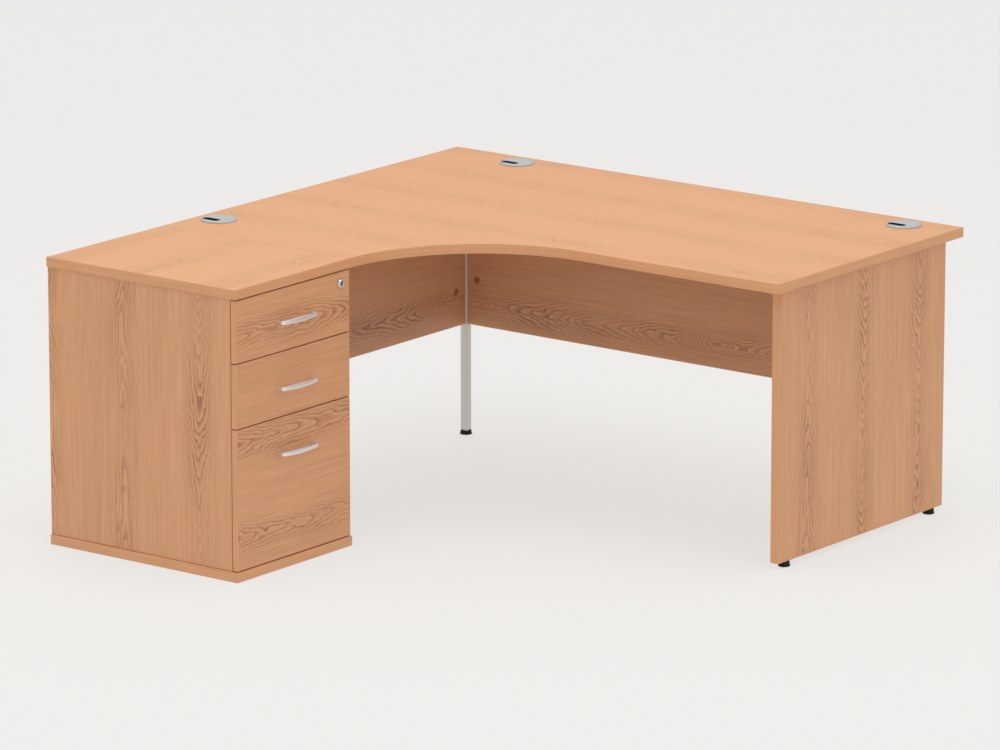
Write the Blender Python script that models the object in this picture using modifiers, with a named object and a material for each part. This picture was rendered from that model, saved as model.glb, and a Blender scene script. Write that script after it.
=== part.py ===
"""A corner desk: a crescent worktop on two panel ends and a corner leg, joined to a pedestal of drawers.

World frame: +Z is up, Z = 0 is the floor, and the origin is under the middle of the whole footprint. The
worktop's two wings meet in the corner at -X and +Y. The main wing runs along +X, and the return wing runs
along -Y to the pedestal, whose drawers open towards +X. Units are metres.
"""

import math

import bmesh
import bpy

# Driving dimensions.
DESK_WIDTH = 1.600  # along the back edge
DESK_DEPTH = 1.200  # along the return edge, to the pedestal
DESK_HEIGHT = 0.730
MAIN_WING_DEPTH = 0.800
RETURN_WING_DEPTH = 0.600
SWEEP_RADIUS = 0.400  # the crescent between the two wings
CORNER_RADIUS = 0.012  # of the free front corner. The back corners are square
PEDESTAL_WIDTH = 0.445

# Boards.
TOP_THICKNESS = 0.025
PANEL_THICKNESS = 0.025
CARCASS_THICKNESS = 0.018
MODESTY_THICKNESS = 0.018
FRONT_THICKNESS = 0.016
EDGE_ROUNDING = 0.001
TOUCHING_GAP = 0.0003  # between pieces that rest on each other

# Panel ends, leg and modesty panels.
PANEL_SIDE_INSET = 0.0285  # from the worktop's end to the panel's outer face
PANEL_BACK_INSET = 0.035
PANEL_FRONT_INSET = 0.052
FOOT_HEIGHT = 0.015
FOOT_RADIUS = 0.015
FOOT_INSET = 0.042  # from the panel's end to the foot's centre
STEM_RADIUS = 0.004
STEM_LENGTH = 0.023
STEM_CLEARANCE = 0.0005
LEG_SIZE = 0.021
LEG_WALL = 0.0015
LEG_INSET = 0.127  # from the worktop's two outer edges
LEG_FOOT_RADIUS = 0.016
LEG_FOOT_HEIGHT = 0.012
LEG_PLATE_SIZE = 0.061
LEG_PLATE_THICKNESS = 0.003
MODESTY_DROP = 0.405  # height of the modesty panels
MODESTY_SETBACK = 0.132  # from the worktop's back edge to the main panel's outer face

# Cable grommets. Each is placed from the two nearest edges of the worktop.
RETURN_GROMMET_INSETS = (0.068, 0.135)  # from the left edge and from the joint
CORNER_GROMMET_INSETS = (0.249, 0.069)  # from the left and back edges
RIGHT_GROMMET_INSETS = (0.134, 0.068)  # from the right and back edges
GROMMET_HOLE_RADIUS = 0.040
GROMMET_CLEARANCE = 0.0005
GROMMET_WALL = 0.002
GROMMET_OVERHANG = 0.004  # below the worktop
FLANGE_OVERLAP = 0.0065  # from the hole's edge to the flange's
FLANGE_HEIGHT = 0.0026
FLANGE_CHAMFER = 0.0015
FLANGE_LIP = 0.0006
LID_OVERLAP = 0.0015
LID_THICKNESS = 0.0018
LID_CHAMFER = 0.0006
LID_SKIRT_DEPTH = 0.007
SLOT_LENGTH = 0.052
SLOT_WIDTH = 0.017
SLOT_RIM_INSET = 0.0218  # from the lid's rim to the slot's centre
SLOT_DIRECTION = math.radians(239.5)  # from the lid's centre to the slot's centre

# Brackets and links.
BRACKET_LEG = 0.040
BRACKET_LENGTH = 0.060
BRACKET_THICKNESS = 0.002
RIGHT_BRACKET_INSETS = {"back": 0.215, "front": 0.148}  # from the right panel's ends
RETURN_BRACKET_INSETS = {"back": 0.185, "front": 0.068}  # from the return panel's ends
LINK_BOLT_RADIUS = 0.004
LINK_HEAD_RADIUS = 0.008
LINK_HEAD_THICKNESS = 0.003
LINK_INSETS = {"back": 0.085, "front": 0.128}  # from the return panel's ends
LINK_SPACER_RADIUS = 0.010
LINK_BITE = 0.018  # how far a bolt goes into the panel end
LINK_SOCKET_SPARE = 0.001

# Pedestal and drawers.
CARCASS_INSET = 0.004  # from the pedestal top's two long edges
FRONT_FACE_INSET = 0.002  # from the pedestal top's edge to the drawer fronts
FRONT_GAP = 0.003
TOP_FRONT_GAP = 0.0035
BASE_FRONT_GAP = 0.0025
SHALLOW_FRONT_HEIGHTS = {"top": 0.155, "middle": 0.160}
FRONT_REST_GAP = 0.002  # from the carcass to a closed drawer front
SHALLOW_TRAY_HEIGHT = 0.090
FILING_TRAY_HEADROOM = 0.075  # how much lower the filing tray is than its front
TRAY_BACK_GAP = 0.0617
TRAY_SHEET = 0.0012
TRAY_LIFT = 0.0135  # from the drawer front's lower edge to the tray
TRAY_FLANGE = 0.012
RUNNER_SPACE = 0.013  # between the carcass side and the tray
RUNNER_END_INSET = 0.001  # from the tray's two ends to the runner's
RUNNER_SHEET = 0.0012
RUNNER_HEIGHT = 0.035
FILING_RUNNER_HEIGHT = 0.045
RUNNER_STEP = 0.0035  # from one member's flange to the next member's flange
RUNNER_LIFT = 0.030  # from the tray's underside to the runner's centre line

# Bow handles.
HANDLE_LENGTH = 0.138
HANDLE_HEIGHT = 0.012
HANDLE_STANDOFF = 0.024  # at its ends
HANDLE_BOW = 0.0055  # how much further it stands off in the middle
HANDLE_THICKNESS = 0.0045
HANDLE_FOOT = 0.009
HANDLE_DROPS = {"top": 0.079, "middle": 0.086, "filing": 0.087}  # below the front's upper edge

# Lock in the top drawer's front.
LOCK_SIDE_INSET = 0.036
LOCK_DROP = 0.0285
LOCK_PROTRUSION = 0.0065
LOCK_CHAMFER = 0.001
BARREL_RADIUS = 0.0060
BARREL_CLEARANCE = 0.0004
BARREL_RECESS = 0.0005
LOCK_SLEEVE_WALL = 0.0016
LOCK_SLEEVE_OVERHANG = 0.002  # behind the drawer front
LOCK_RIM_LIP = 0.003
KEY_SLOT = (0.0016, 0.0080, 0.004)  # width, height and depth
CAM_LENGTH = 0.026
CAM_WIDTH = 0.012
CAM_THICKNESS = 0.002
STRIKE_WIDTH = 0.030
STRIKE_LENGTH = 0.030
STRIKE_DROP = 0.0135
STRIKE_SHEET = 0.0015
STRIKE_CLEARANCE = 0.0005  # from the turned cam to the strike's lip in front of it

# Places that follow from the driving dimensions.
OVERALL_DEPTH = DESK_DEPTH + PEDESTAL_WIDTH
LEFT = -DESK_WIDTH / 2
RIGHT = DESK_WIDTH / 2
BACK = OVERALL_DEPTH / 2
JOINT = BACK - DESK_DEPTH
OUTER_END = BACK - OVERALL_DEPTH
UNDERSIDE = DESK_HEIGHT - TOP_THICKNESS
PANEL_TOP = UNDERSIDE - TOUCHING_GAP
CARCASS_OUTER = OUTER_END + CARCASS_INSET
CARCASS_INNER = JOINT - CARCASS_INSET
BASE_TOP = TOP_THICKNESS
FRONT_BACK = LEFT + RETURN_WING_DEPTH - FRONT_FACE_INSET - FRONT_THICKNESS
FRONT_FACE = FRONT_BACK + FRONT_THICKNESS
CARCASS_FRONT = FRONT_BACK - FRONT_REST_GAP
TRAY_FRONT = FRONT_BACK - TOUCHING_GAP
TRAY_BACK = LEFT + CARCASS_THICKNESS + TRAY_BACK_GAP

# Steps round a turned piece, and how far a cutter runs past what it cuts.
FINE_STEPS = 48
COARSE_STEPS = 24
CUTTER_MARGIN = 0.05


def clear_scene():
    for obj in list(bpy.data.objects):
        bpy.data.objects.remove(obj, do_unlink=True)


def make_collection(name):
    group = bpy.data.collections.new(name)
    bpy.context.scene.collection.children.link(group)
    return group


clear_scene()
PARTS = make_collection("corner_desk")
CUTTERS = make_collection("cutters")
CUTTERS.hide_render = True


def make_material(name, colour, roughness, metallic=0.0):
    made = bpy.data.materials.new(name)
    made.use_nodes = True
    shader = made.node_tree.nodes["Principled BSDF"]
    shader.inputs["Base Color"].default_value = (*colour, 1.0)
    shader.inputs["Roughness"].default_value = roughness
    shader.inputs["Metallic"].default_value = metallic
    made.diffuse_color = (*colour, 1.0)
    return made


FINISHES = {
    "beech_top": ((0.80, 0.45, 0.26), 0.45, 0.0),
    "beech_board": ((0.58, 0.30, 0.16), 0.50, 0.0),
    "grey_plastic": ((0.52, 0.54, 0.56), 0.40, 0.0),
    "black_plastic": ((0.02, 0.02, 0.02), 0.45, 0.0),
    "silver_paint": ((0.45, 0.44, 0.42), 0.40, 0.6),
    "zinc_steel": ((0.55, 0.56, 0.57), 0.35, 1.0),
    "satin_nickel": ((0.62, 0.62, 0.62), 0.30, 1.0),
    "chrome": ((0.75, 0.75, 0.76), 0.12, 1.0),
    "grey_tray": ((0.30, 0.31, 0.32), 0.45, 0.2),
}


def finish(obj, finish_name):
    """Gives the object a material of its own with one of the shared finishes."""
    obj.data.materials.clear()
    obj.data.materials.append(make_material(f"{obj.name}_{finish_name}", *FINISHES[finish_name]))


def place(name, mesh, group, location=(0.0, 0.0, 0.0)):
    obj = bpy.data.objects.new(name, mesh)
    obj.location = location
    group.objects.link(obj)
    if group is CUTTERS:
        obj.hide_render = True
        obj.display_type = "WIRE"
    return obj


def box_mesh(name, size):
    shape = bmesh.new()
    bmesh.ops.create_cube(shape, size=1.0)
    bmesh.ops.scale(shape, vec=size, verts=shape.verts)
    mesh = bpy.data.meshes.new(name)
    shape.to_mesh(mesh)
    shape.free()
    return mesh


def box(name, x, y, z, group=PARTS):
    """A box from its lowest and highest x, y and z, with its origin at its centre."""
    size = (x[1] - x[0], y[1] - y[0], z[1] - z[0])
    centre = ((x[0] + x[1]) / 2, (y[0] + y[1]) / 2, (z[0] + z[1]) / 2)
    return place(name, box_mesh(name, size), group, centre)


def round_edges(obj, width=EDGE_ROUNDING):
    bevel = obj.modifiers.new("edges", "BEVEL")
    bevel.width = width
    bevel.segments = 1
    bevel.limit_method = "ANGLE"
    bevel.angle_limit = math.radians(40)


def board(name, x, y, z, finish_name="beech_board"):
    made = box(name, x, y, z)
    round_edges(made)
    finish(made, finish_name)
    return made


def cylinder(name, radius, length, centre, axis="Z", steps=COARSE_STEPS, group=CUTTERS):
    shape = bmesh.new()
    bmesh.ops.create_cone(
        shape, cap_ends=True, segments=steps, radius1=radius, radius2=radius, depth=length
    )
    mesh = bpy.data.meshes.new(name)
    shape.to_mesh(mesh)
    shape.free()
    made = place(name, mesh, group, centre)
    turns = {"X": (0.0, math.pi / 2, 0.0), "Y": (math.pi / 2, 0.0, 0.0), "Z": (0.0, 0.0, 0.0)}
    made.rotation_euler = turns[axis]
    return made


def cut(obj, cutter):
    boolean = obj.modifiers.new(cutter.name, "BOOLEAN")
    boolean.operation = "DIFFERENCE"
    boolean.object = cutter
    return obj


def turned(name, profile, centre, finish_name, steps=COARSE_STEPS, closed=False):
    """Turns a profile of (radius, height) points about Z. The points run down the outer side."""
    count = len(profile)
    edges = [(i, i + 1) for i in range(count - 1)]
    if closed:
        edges.append((count - 1, 0))
    mesh = bpy.data.meshes.new(name)
    mesh.from_pydata([(r, 0.0, h) for r, h in profile], edges, [])
    made = place(name, mesh, PARTS, centre)
    screw = made.modifiers.new("turned", "SCREW")
    screw.steps = steps
    screw.render_steps = steps
    screw.use_merge_vertices = True
    screw.merge_threshold = 0.00001
    shade_round(made)
    finish(made, finish_name)
    return made


def shade_round(obj):
    """Replaces a turned profile by its turned mesh, smooth but for the edges over 30 degrees."""
    bpy.context.view_layer.update()
    evaluated = obj.evaluated_get(bpy.context.evaluated_depsgraph_get())
    mesh = bpy.data.meshes.new_from_object(evaluated)
    obj.modifiers.clear()
    obj.data = mesh
    mesh.shade_smooth()
    mesh.set_sharp_from_angle(angle=math.radians(30))


def arc(centre, radius, start, end, count):
    """Points on an arc, with both ends, for angles in radians."""
    points = []
    for i in range(count + 1):
        angle = start + (end - start) * i / count
        points.append((centre[0] + radius * math.cos(angle), centre[1] + radius * math.sin(angle)))
    return points


def rounded_outline(corners, arc_steps=10):
    """An outline whose corners, each ((x, y), radius), are rounded by arcs that touch both sides."""
    points = []
    count = len(corners)
    for i, (corner, radius) in enumerate(corners):
        if radius <= 0.0:
            points.append(corner)
            continue
        before = corners[i - 1][0]
        after = corners[(i + 1) % count][0]
        to_before = (before[0] - corner[0], before[1] - corner[1])
        to_after = (after[0] - corner[0], after[1] - corner[1])
        unit_before = [v / math.hypot(*to_before) for v in to_before]
        unit_after = [v / math.hypot(*to_after) for v in to_after]
        half = math.acos(sum(a * b for a, b in zip(unit_before, unit_after))) / 2
        along = radius / math.tan(half)
        middle = [a + b for a, b in zip(unit_before, unit_after)]
        reach = radius / math.sin(half) / math.hypot(*middle)
        centre = (corner[0] + middle[0] * reach, corner[1] + middle[1] * reach)
        first = (corner[0] + unit_before[0] * along, corner[1] + unit_before[1] * along)
        last = (corner[0] + unit_after[0] * along, corner[1] + unit_after[1] * along)
        start = math.atan2(first[1] - centre[1], first[0] - centre[0])
        end = math.atan2(last[1] - centre[1], last[0] - centre[0])
        if end - start > math.pi:
            end -= 2 * math.pi
        if start - end > math.pi:
            end += 2 * math.pi
        steps = arc_steps if radius < 0.1 else 2 * arc_steps + 4
        points.extend(arc(centre, radius, start, end, steps))
    return points


def without_doubles(points, nearest=0.00005):
    kept = []
    for point in points:
        if all(math.dist(point, other) > nearest for other in (kept[-1:] + kept[:1])):
            kept.append(point)
    return kept


def plate(name, outline, bottom, thickness, group=PARTS):
    """A flat piece of the given outline: a filled 2D curve with half its thickness each way, made a mesh."""
    curve = bpy.data.curves.new(name, "CURVE")
    curve.dimensions = "2D"
    curve.fill_mode = "BOTH"
    curve.extrude = thickness / 2
    points = without_doubles(outline)
    spline = curve.splines.new("POLY")
    spline.points.add(len(points) - 1)
    for point, (x, y) in zip(spline.points, points):
        point.co = (x, y, 0.0, 1.0)
    spline.use_cyclic_u = True
    drawn = place(f"{name}_outline", curve, PARTS, (0.0, 0.0, bottom + thickness / 2))
    bpy.context.view_layer.update()
    evaluated = drawn.evaluated_get(bpy.context.evaluated_depsgraph_get())
    mesh = bpy.data.meshes.new_from_object(evaluated)
    matrix = drawn.matrix_world.copy()
    bpy.data.objects.remove(drawn, do_unlink=True)
    welded = bmesh.new()
    welded.from_mesh(mesh)
    bmesh.ops.remove_doubles(welded, verts=welded.verts, dist=0.00001)
    bmesh.ops.dissolve_limit(welded, angle_limit=0.002, verts=welded.verts, edges=welded.edges)
    bmesh.ops.recalc_face_normals(welded, faces=welded.faces)
    welded.to_mesh(mesh)
    welded.free()
    mesh.name = name
    made = place(name, mesh, group)
    made.matrix_world = matrix
    return made


def standing(obj, plane, centre):
    """Stands a flat piece up, so that its own X and Y lie along the two world axes of the named plane."""
    turns = {"YZ": (math.pi / 2, 0.0, math.pi / 2), "XZ": (math.pi / 2, 0.0, 0.0)}
    obj.rotation_euler = turns[plane]
    obj.location = centre


# The worktop and its grommets.
GROMMET_CENTRES = {
    "return": (LEFT + RETURN_GROMMET_INSETS[0], JOINT + RETURN_GROMMET_INSETS[1]),
    "corner": (LEFT + CORNER_GROMMET_INSETS[0], BACK - CORNER_GROMMET_INSETS[1]),
    "right": (RIGHT - RIGHT_GROMMET_INSETS[0], BACK - RIGHT_GROMMET_INSETS[1]),
}


def make_desk_top():
    sweep = min(SWEEP_RADIUS, DESK_DEPTH - MAIN_WING_DEPTH, DESK_WIDTH - RETURN_WING_DEPTH - CORNER_RADIUS)
    near = JOINT + TOUCHING_GAP / 2
    inner = LEFT + RETURN_WING_DEPTH
    wing_front = BACK - MAIN_WING_DEPTH
    corners = [
        ((LEFT, BACK), 0.0),
        ((LEFT, near), 0.0),
        ((inner, near), 0.0),
        ((inner, wing_front), sweep),
        ((RIGHT, wing_front), CORNER_RADIUS),
        ((RIGHT, BACK), 0.0),
    ]
    made = plate("desk_top", rounded_outline(corners, 4), UNDERSIDE, TOP_THICKNESS)
    round_edges(made)
    for key, (x, y) in GROMMET_CENTRES.items():
        hole = cylinder(
            f"hole_{key}",
            GROMMET_HOLE_RADIUS,
            3 * TOP_THICKNESS,
            (x, y, UNDERSIDE + TOP_THICKNESS / 2),
            steps=FINE_STEPS,
        )
        cut(made, hole)
    finish(made, "beech_top")


def make_grommet(key):
    x, y = GROMMET_CENTRES[key]
    outer = GROMMET_HOLE_RADIUS - GROMMET_CLEARANCE
    inner = outer - GROMMET_WALL
    flange = GROMMET_HOLE_RADIUS + FLANGE_OVERLAP
    lid_radius = GROMMET_HOLE_RADIUS + LID_OVERLAP
    seat_radius = lid_radius + GROMMET_CLEARANCE
    sleeve_bottom = -TOP_THICKNESS - GROMMET_OVERHANG
    rim_bottom = TOUCHING_GAP
    rim_top = rim_bottom + FLANGE_HEIGHT
    seat = rim_top - LID_THICKNESS
    profile = [
        (seat_radius, rim_top),
        (flange - FLANGE_CHAMFER, rim_top),
        (flange, rim_bottom + FLANGE_LIP),
        (flange, rim_bottom),
        (outer, rim_bottom),
        (outer, sleeve_bottom),
        (inner, sleeve_bottom),
        (inner, seat),
        (seat_radius, seat),
    ]
    turned(f"grommet_liner_{key}", profile, (x, y, DESK_HEIGHT), "grey_plastic", FINE_STEPS, closed=True)
    lid_bottom = seat + TOUCHING_GAP
    lid_top = lid_bottom + LID_THICKNESS
    skirt_outer = inner - GROMMET_CLEARANCE
    skirt_inner = skirt_outer - GROMMET_WALL
    lid_profile = [
        (0.0, lid_top),
        (lid_radius - LID_CHAMFER, lid_top),
        (lid_radius, lid_top - LID_CHAMFER),
        (lid_radius, lid_bottom),
        (skirt_outer, lid_bottom),
        (skirt_outer, lid_bottom - LID_SKIRT_DEPTH),
        (skirt_inner, lid_bottom - LID_SKIRT_DEPTH),
        (skirt_inner, lid_bottom),
        (0.0, lid_bottom),
    ]
    lid = turned(f"grommet_lid_{key}", lid_profile, (x, y, DESK_HEIGHT), "grey_plastic", FINE_STEPS)
    half = SLOT_LENGTH / 2
    ends = SLOT_WIDTH / 2
    corners = [((-half, ends), ends), ((-half, -ends), ends), ((half, -ends), ends), ((half, ends), ends)]
    slot = plate(f"slot_{key}", rounded_outline(corners, 5), 0.0, CUTTER_MARGIN, CUTTERS)
    reach = lid_radius - SLOT_RIM_INSET
    slot.location = (
        x + reach * math.cos(SLOT_DIRECTION),
        y + reach * math.sin(SLOT_DIRECTION),
        DESK_HEIGHT,
    )
    cut(lid, slot)


# Panel ends with their levelling feet.
def make_foot(name, x, y, radius, height, stem_radius, stem_length):
    profile = [
        (0.0, height + stem_length),
        (stem_radius, height + stem_length),
        (stem_radius, height - TOUCHING_GAP),
        (radius * 0.62, height - TOUCHING_GAP),
        (radius * 0.70, height * 0.55),
        (radius, height * 0.40),
        (radius, height * 0.10),
        (radius * 0.93, 0.0),
        (0.0, 0.0),
    ]
    return turned(name, profile, (x, y, 0.0), "black_plastic")


def drill_for_stem(panel, name, x, y):
    depth = STEM_LENGTH + 0.004
    cutter = cylinder(
        f"stem_hole_{name}",
        STEM_RADIUS + STEM_CLEARANCE,
        2 * depth,
        (x, y, FOOT_HEIGHT),
    )
    cut(panel, cutter)


def make_right_panel_end():
    x = (RIGHT - PANEL_SIDE_INSET - PANEL_THICKNESS, RIGHT - PANEL_SIDE_INSET)
    y = (BACK - MAIN_WING_DEPTH + PANEL_FRONT_INSET, BACK - PANEL_BACK_INSET)
    panel = board("right_panel_end", x, y, (FOOT_HEIGHT, PANEL_TOP))
    middle = (x[0] + x[1]) / 2
    for key, foot_y in (("front", y[0] + FOOT_INSET), ("back", y[1] - FOOT_INSET)):
        make_foot(f"right_foot_{key}", middle, foot_y, FOOT_RADIUS, FOOT_HEIGHT, STEM_RADIUS, STEM_LENGTH)
        drill_for_stem(panel, f"right_{key}", middle, foot_y)


def return_panel_faces():
    outer = JOINT + PANEL_SIDE_INSET
    return outer, outer + PANEL_THICKNESS


def return_panel_ends():
    return LEFT + PANEL_BACK_INSET, LEFT + RETURN_WING_DEPTH - PANEL_FRONT_INSET


def inset_places(ends, insets):
    """Places measured inwards from a board's back and front ends."""
    back, front = ends
    inwards = 1 if front > back else -1
    return {"back": back + inwards * insets["back"], "front": front - inwards * insets["front"]}


def make_return_panel_end():
    x = return_panel_ends()
    y = return_panel_faces()
    panel = board("return_panel_end", x, y, (FOOT_HEIGHT, PANEL_TOP))
    middle = (y[0] + y[1]) / 2
    for key, foot_x in (("front", x[1] - FOOT_INSET), ("back", x[0] + FOOT_INSET)):
        make_foot(f"return_foot_{key}", foot_x, middle, FOOT_RADIUS, FOOT_HEIGHT, STEM_RADIUS, STEM_LENGTH)
        drill_for_stem(panel, f"return_{key}", foot_x, middle)
    for key, link_x in inset_places(x, LINK_INSETS).items():
        socket = cylinder(
            f"link_socket_{key}",
            LINK_BOLT_RADIUS + STEM_CLEARANCE,
            2 * (LINK_BITE + LINK_SOCKET_SPARE),
            (link_x, y[0], link_height()),
            "Y",
        )
        cut(panel, socket)


# The corner leg.
def leg_faces():
    x = (LEFT + LEG_INSET, LEFT + LEG_INSET + LEG_SIZE)
    y = (BACK - MODESTY_SETBACK - LEG_SIZE, BACK - MODESTY_SETBACK)
    return x, y


def make_corner_leg():
    x, y = leg_faces()
    top = PANEL_TOP - LEG_PLATE_THICKNESS - TOUCHING_GAP
    tube = box("corner_leg", x, y, (LEG_FOOT_HEIGHT, top))
    hollow = box(
        "leg_hollow",
        (x[0] + LEG_WALL, x[1] - LEG_WALL),
        (y[0] + LEG_WALL, y[1] - LEG_WALL),
        (-CUTTER_MARGIN, top + CUTTER_MARGIN),
        CUTTERS,
    )
    cut(tube, hollow)
    finish(tube, "silver_paint")
    plate_x = (x[1] - LEG_PLATE_SIZE, x[1])
    plate_y = (y[0], y[0] + LEG_PLATE_SIZE)
    head = box("leg_top_plate", plate_x, plate_y, (PANEL_TOP - LEG_PLATE_THICKNESS, PANEL_TOP))
    finish(head, "silver_paint")
    middle = ((x[0] + x[1]) / 2, (y[0] + y[1]) / 2)
    make_foot("leg_foot", *middle, LEG_FOOT_RADIUS, LEG_FOOT_HEIGHT, STEM_RADIUS, STEM_LENGTH)


# Modesty panels, between the leg and the two panel ends.
def make_modesty_panels():
    leg_x, leg_y = leg_faces()
    z = (UNDERSIDE - MODESTY_DROP, PANEL_TOP)
    right_end = RIGHT - PANEL_SIDE_INSET - PANEL_THICKNESS
    main_y = (leg_y[1] - MODESTY_THICKNESS, leg_y[1])
    board("modesty_panel_main", (leg_x[1] + TOUCHING_GAP, right_end - TOUCHING_GAP), main_y, z)
    near_end = return_panel_faces()[1]
    return_x = (leg_x[0], leg_x[0] + MODESTY_THICKNESS)
    board("modesty_panel_return", return_x, (near_end + TOUCHING_GAP, leg_y[0] - TOUCHING_GAP), z)


# Steel angles that hold the worktop on the panel ends.
def angle_outline():
    reach = BRACKET_LEG
    sheet = BRACKET_THICKNESS
    return [(0.0, 0.0), (0.0, -reach), (sheet, -reach), (sheet, -sheet), (reach, -sheet), (reach, 0.0)]


def make_brackets():
    panel_x = RIGHT - PANEL_SIDE_INSET - PANEL_THICKNESS - TOUCHING_GAP
    right_ends = (BACK - PANEL_BACK_INSET, BACK - MAIN_WING_DEPTH + PANEL_FRONT_INSET)
    for key, y in inset_places(right_ends, RIGHT_BRACKET_INSETS).items():
        bracket = plate(f"bracket_right_{key}", angle_outline(), 0.0, BRACKET_LENGTH)
        bracket.rotation_euler = (math.pi / 2, 0.0, math.pi)
        bracket.location = (panel_x, y, PANEL_TOP)
        finish(bracket, "zinc_steel")
    panel_y = return_panel_faces()[1] + TOUCHING_GAP
    for key, x in inset_places(return_panel_ends(), RETURN_BRACKET_INSETS).items():
        bracket = plate(f"bracket_return_{key}", angle_outline(), 0.0, BRACKET_LENGTH)
        bracket.rotation_euler = (math.pi / 2, 0.0, math.pi / 2)
        bracket.location = (x, panel_y, PANEL_TOP)
        finish(bracket, "zinc_steel")


# Bolts and spacers that link the pedestal's side to the return panel end.
def link_height():
    """The bolts' heads lie between the top and the middle drawer's runners."""
    return front_heights()["top"][0]


def make_links(carcass_side):
    start = CARCASS_INNER - CARCASS_THICKNESS
    panel = return_panel_faces()[0]
    gap = panel - CARCASS_INNER
    height = link_height()
    for key, x in inset_places(return_panel_ends(), LINK_INSETS).items():
        length = CARCASS_THICKNESS + gap + LINK_BITE
        profile = [
            (0.0, TOUCHING_GAP + length),
            (LINK_BOLT_RADIUS, TOUCHING_GAP + length),
            (LINK_BOLT_RADIUS, 0.0),
            (LINK_HEAD_RADIUS, 0.0),
            (LINK_HEAD_RADIUS * 0.8, -LINK_HEAD_THICKNESS),
            (0.0, -LINK_HEAD_THICKNESS),
        ]
        bolt = turned(f"link_bolt_{key}", profile, (x, start - TOUCHING_GAP, height), "zinc_steel")
        bolt.rotation_euler = (-math.pi / 2, 0.0, 0.0)
        bore = LINK_BOLT_RADIUS + STEM_CLEARANCE
        tube = [
            (LINK_SPACER_RADIUS, gap - TOUCHING_GAP),
            (LINK_SPACER_RADIUS, TOUCHING_GAP),
            (bore, TOUCHING_GAP),
            (bore, gap - TOUCHING_GAP),
        ]
        spacer = turned(f"link_spacer_{key}", tube, (x, CARCASS_INNER, height), "black_plastic", closed=True)
        spacer.rotation_euler = (-math.pi / 2, 0.0, 0.0)
        hole = cylinder(f"link_hole_{key}", bore, 3 * CARCASS_THICKNESS, (x, CARCASS_INNER, height), "Y")
        cut(carcass_side, hole)


# The pedestal's boards.
def make_pedestal():
    x = (LEFT, LEFT + RETURN_WING_DEPTH)
    y = (OUTER_END, JOINT - TOUCHING_GAP / 2)
    board("pedestal_top", x, y, (UNDERSIDE, DESK_HEIGHT), "beech_top")
    board("pedestal_base", x, y, (0.0, BASE_TOP))
    side_x = (LEFT, CARCASS_FRONT)
    side_z = (BASE_TOP + TOUCHING_GAP, PANEL_TOP)
    outer_y = (CARCASS_OUTER, CARCASS_OUTER + CARCASS_THICKNESS)
    inner_y = (CARCASS_INNER - CARCASS_THICKNESS, CARCASS_INNER)
    board("pedestal_side_outer", side_x, outer_y, side_z)
    inner_side = board("pedestal_side_inner", side_x, inner_y, side_z)
    back_y = (outer_y[1] + TOUCHING_GAP, inner_y[0] - TOUCHING_GAP)
    board("pedestal_back", (side_x[0], side_x[0] + CARCASS_THICKNESS), back_y, side_z)
    make_links(inner_side)


def front_heights():
    """Each drawer's lower and upper front edge. The filing drawer takes what the other two leave."""
    top = UNDERSIDE - TOP_FRONT_GAP
    middle = top - SHALLOW_FRONT_HEIGHTS["top"] - FRONT_GAP
    filing = middle - SHALLOW_FRONT_HEIGHTS["middle"] - FRONT_GAP
    return {
        "top": (top - SHALLOW_FRONT_HEIGHTS["top"], top),
        "middle": (middle - SHALLOW_FRONT_HEIGHTS["middle"], middle),
        "filing": (BASE_TOP + BASE_FRONT_GAP, filing),
    }


def make_drawer_front(key, z):
    return board(f"drawer_front_{key}", (FRONT_BACK, FRONT_FACE), (CARCASS_OUTER, CARCASS_INNER), z)


def make_tray(key, bottom, height):
    """A tray folded from sheet steel, with a window in its front wall where the drawer front closes it."""
    x = (TRAY_BACK, TRAY_FRONT)
    side = CARCASS_THICKNESS + RUNNER_SPACE
    y = (CARCASS_OUTER + side, CARCASS_INNER - side)
    tray = box(f"drawer_tray_{key}", x, y, (bottom, bottom + height))
    hollow = box(
        f"tray_hollow_{key}",
        (x[0] + TRAY_SHEET, x[1] - TRAY_SHEET),
        (y[0] + TRAY_SHEET, y[1] - TRAY_SHEET),
        (bottom + TRAY_SHEET, bottom + height + CUTTER_MARGIN),
        CUTTERS,
    )
    window = box(
        f"tray_window_{key}",
        (x[1] - CUTTER_MARGIN, x[1] + CUTTER_MARGIN),
        (y[0] + TRAY_FLANGE, y[1] - TRAY_FLANGE),
        (bottom + TRAY_FLANGE, bottom + height + CUTTER_MARGIN),
        CUTTERS,
    )
    cut(tray, hollow)
    cut(tray, window)
    finish(tray, "grey_tray")


def channel_outline(height, depth):
    """A channel's section: its web on the first axis's zero, and its two flanges along that axis."""
    half = height / 2
    sheet = RUNNER_SHEET
    return [
        (0.0, -half),
        (depth, -half),
        (depth, -half + sheet),
        (sheet, -half + sheet),
        (sheet, half - sheet),
        (depth, half - sheet),
        (depth, half),
        (0.0, half),
    ]


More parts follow.
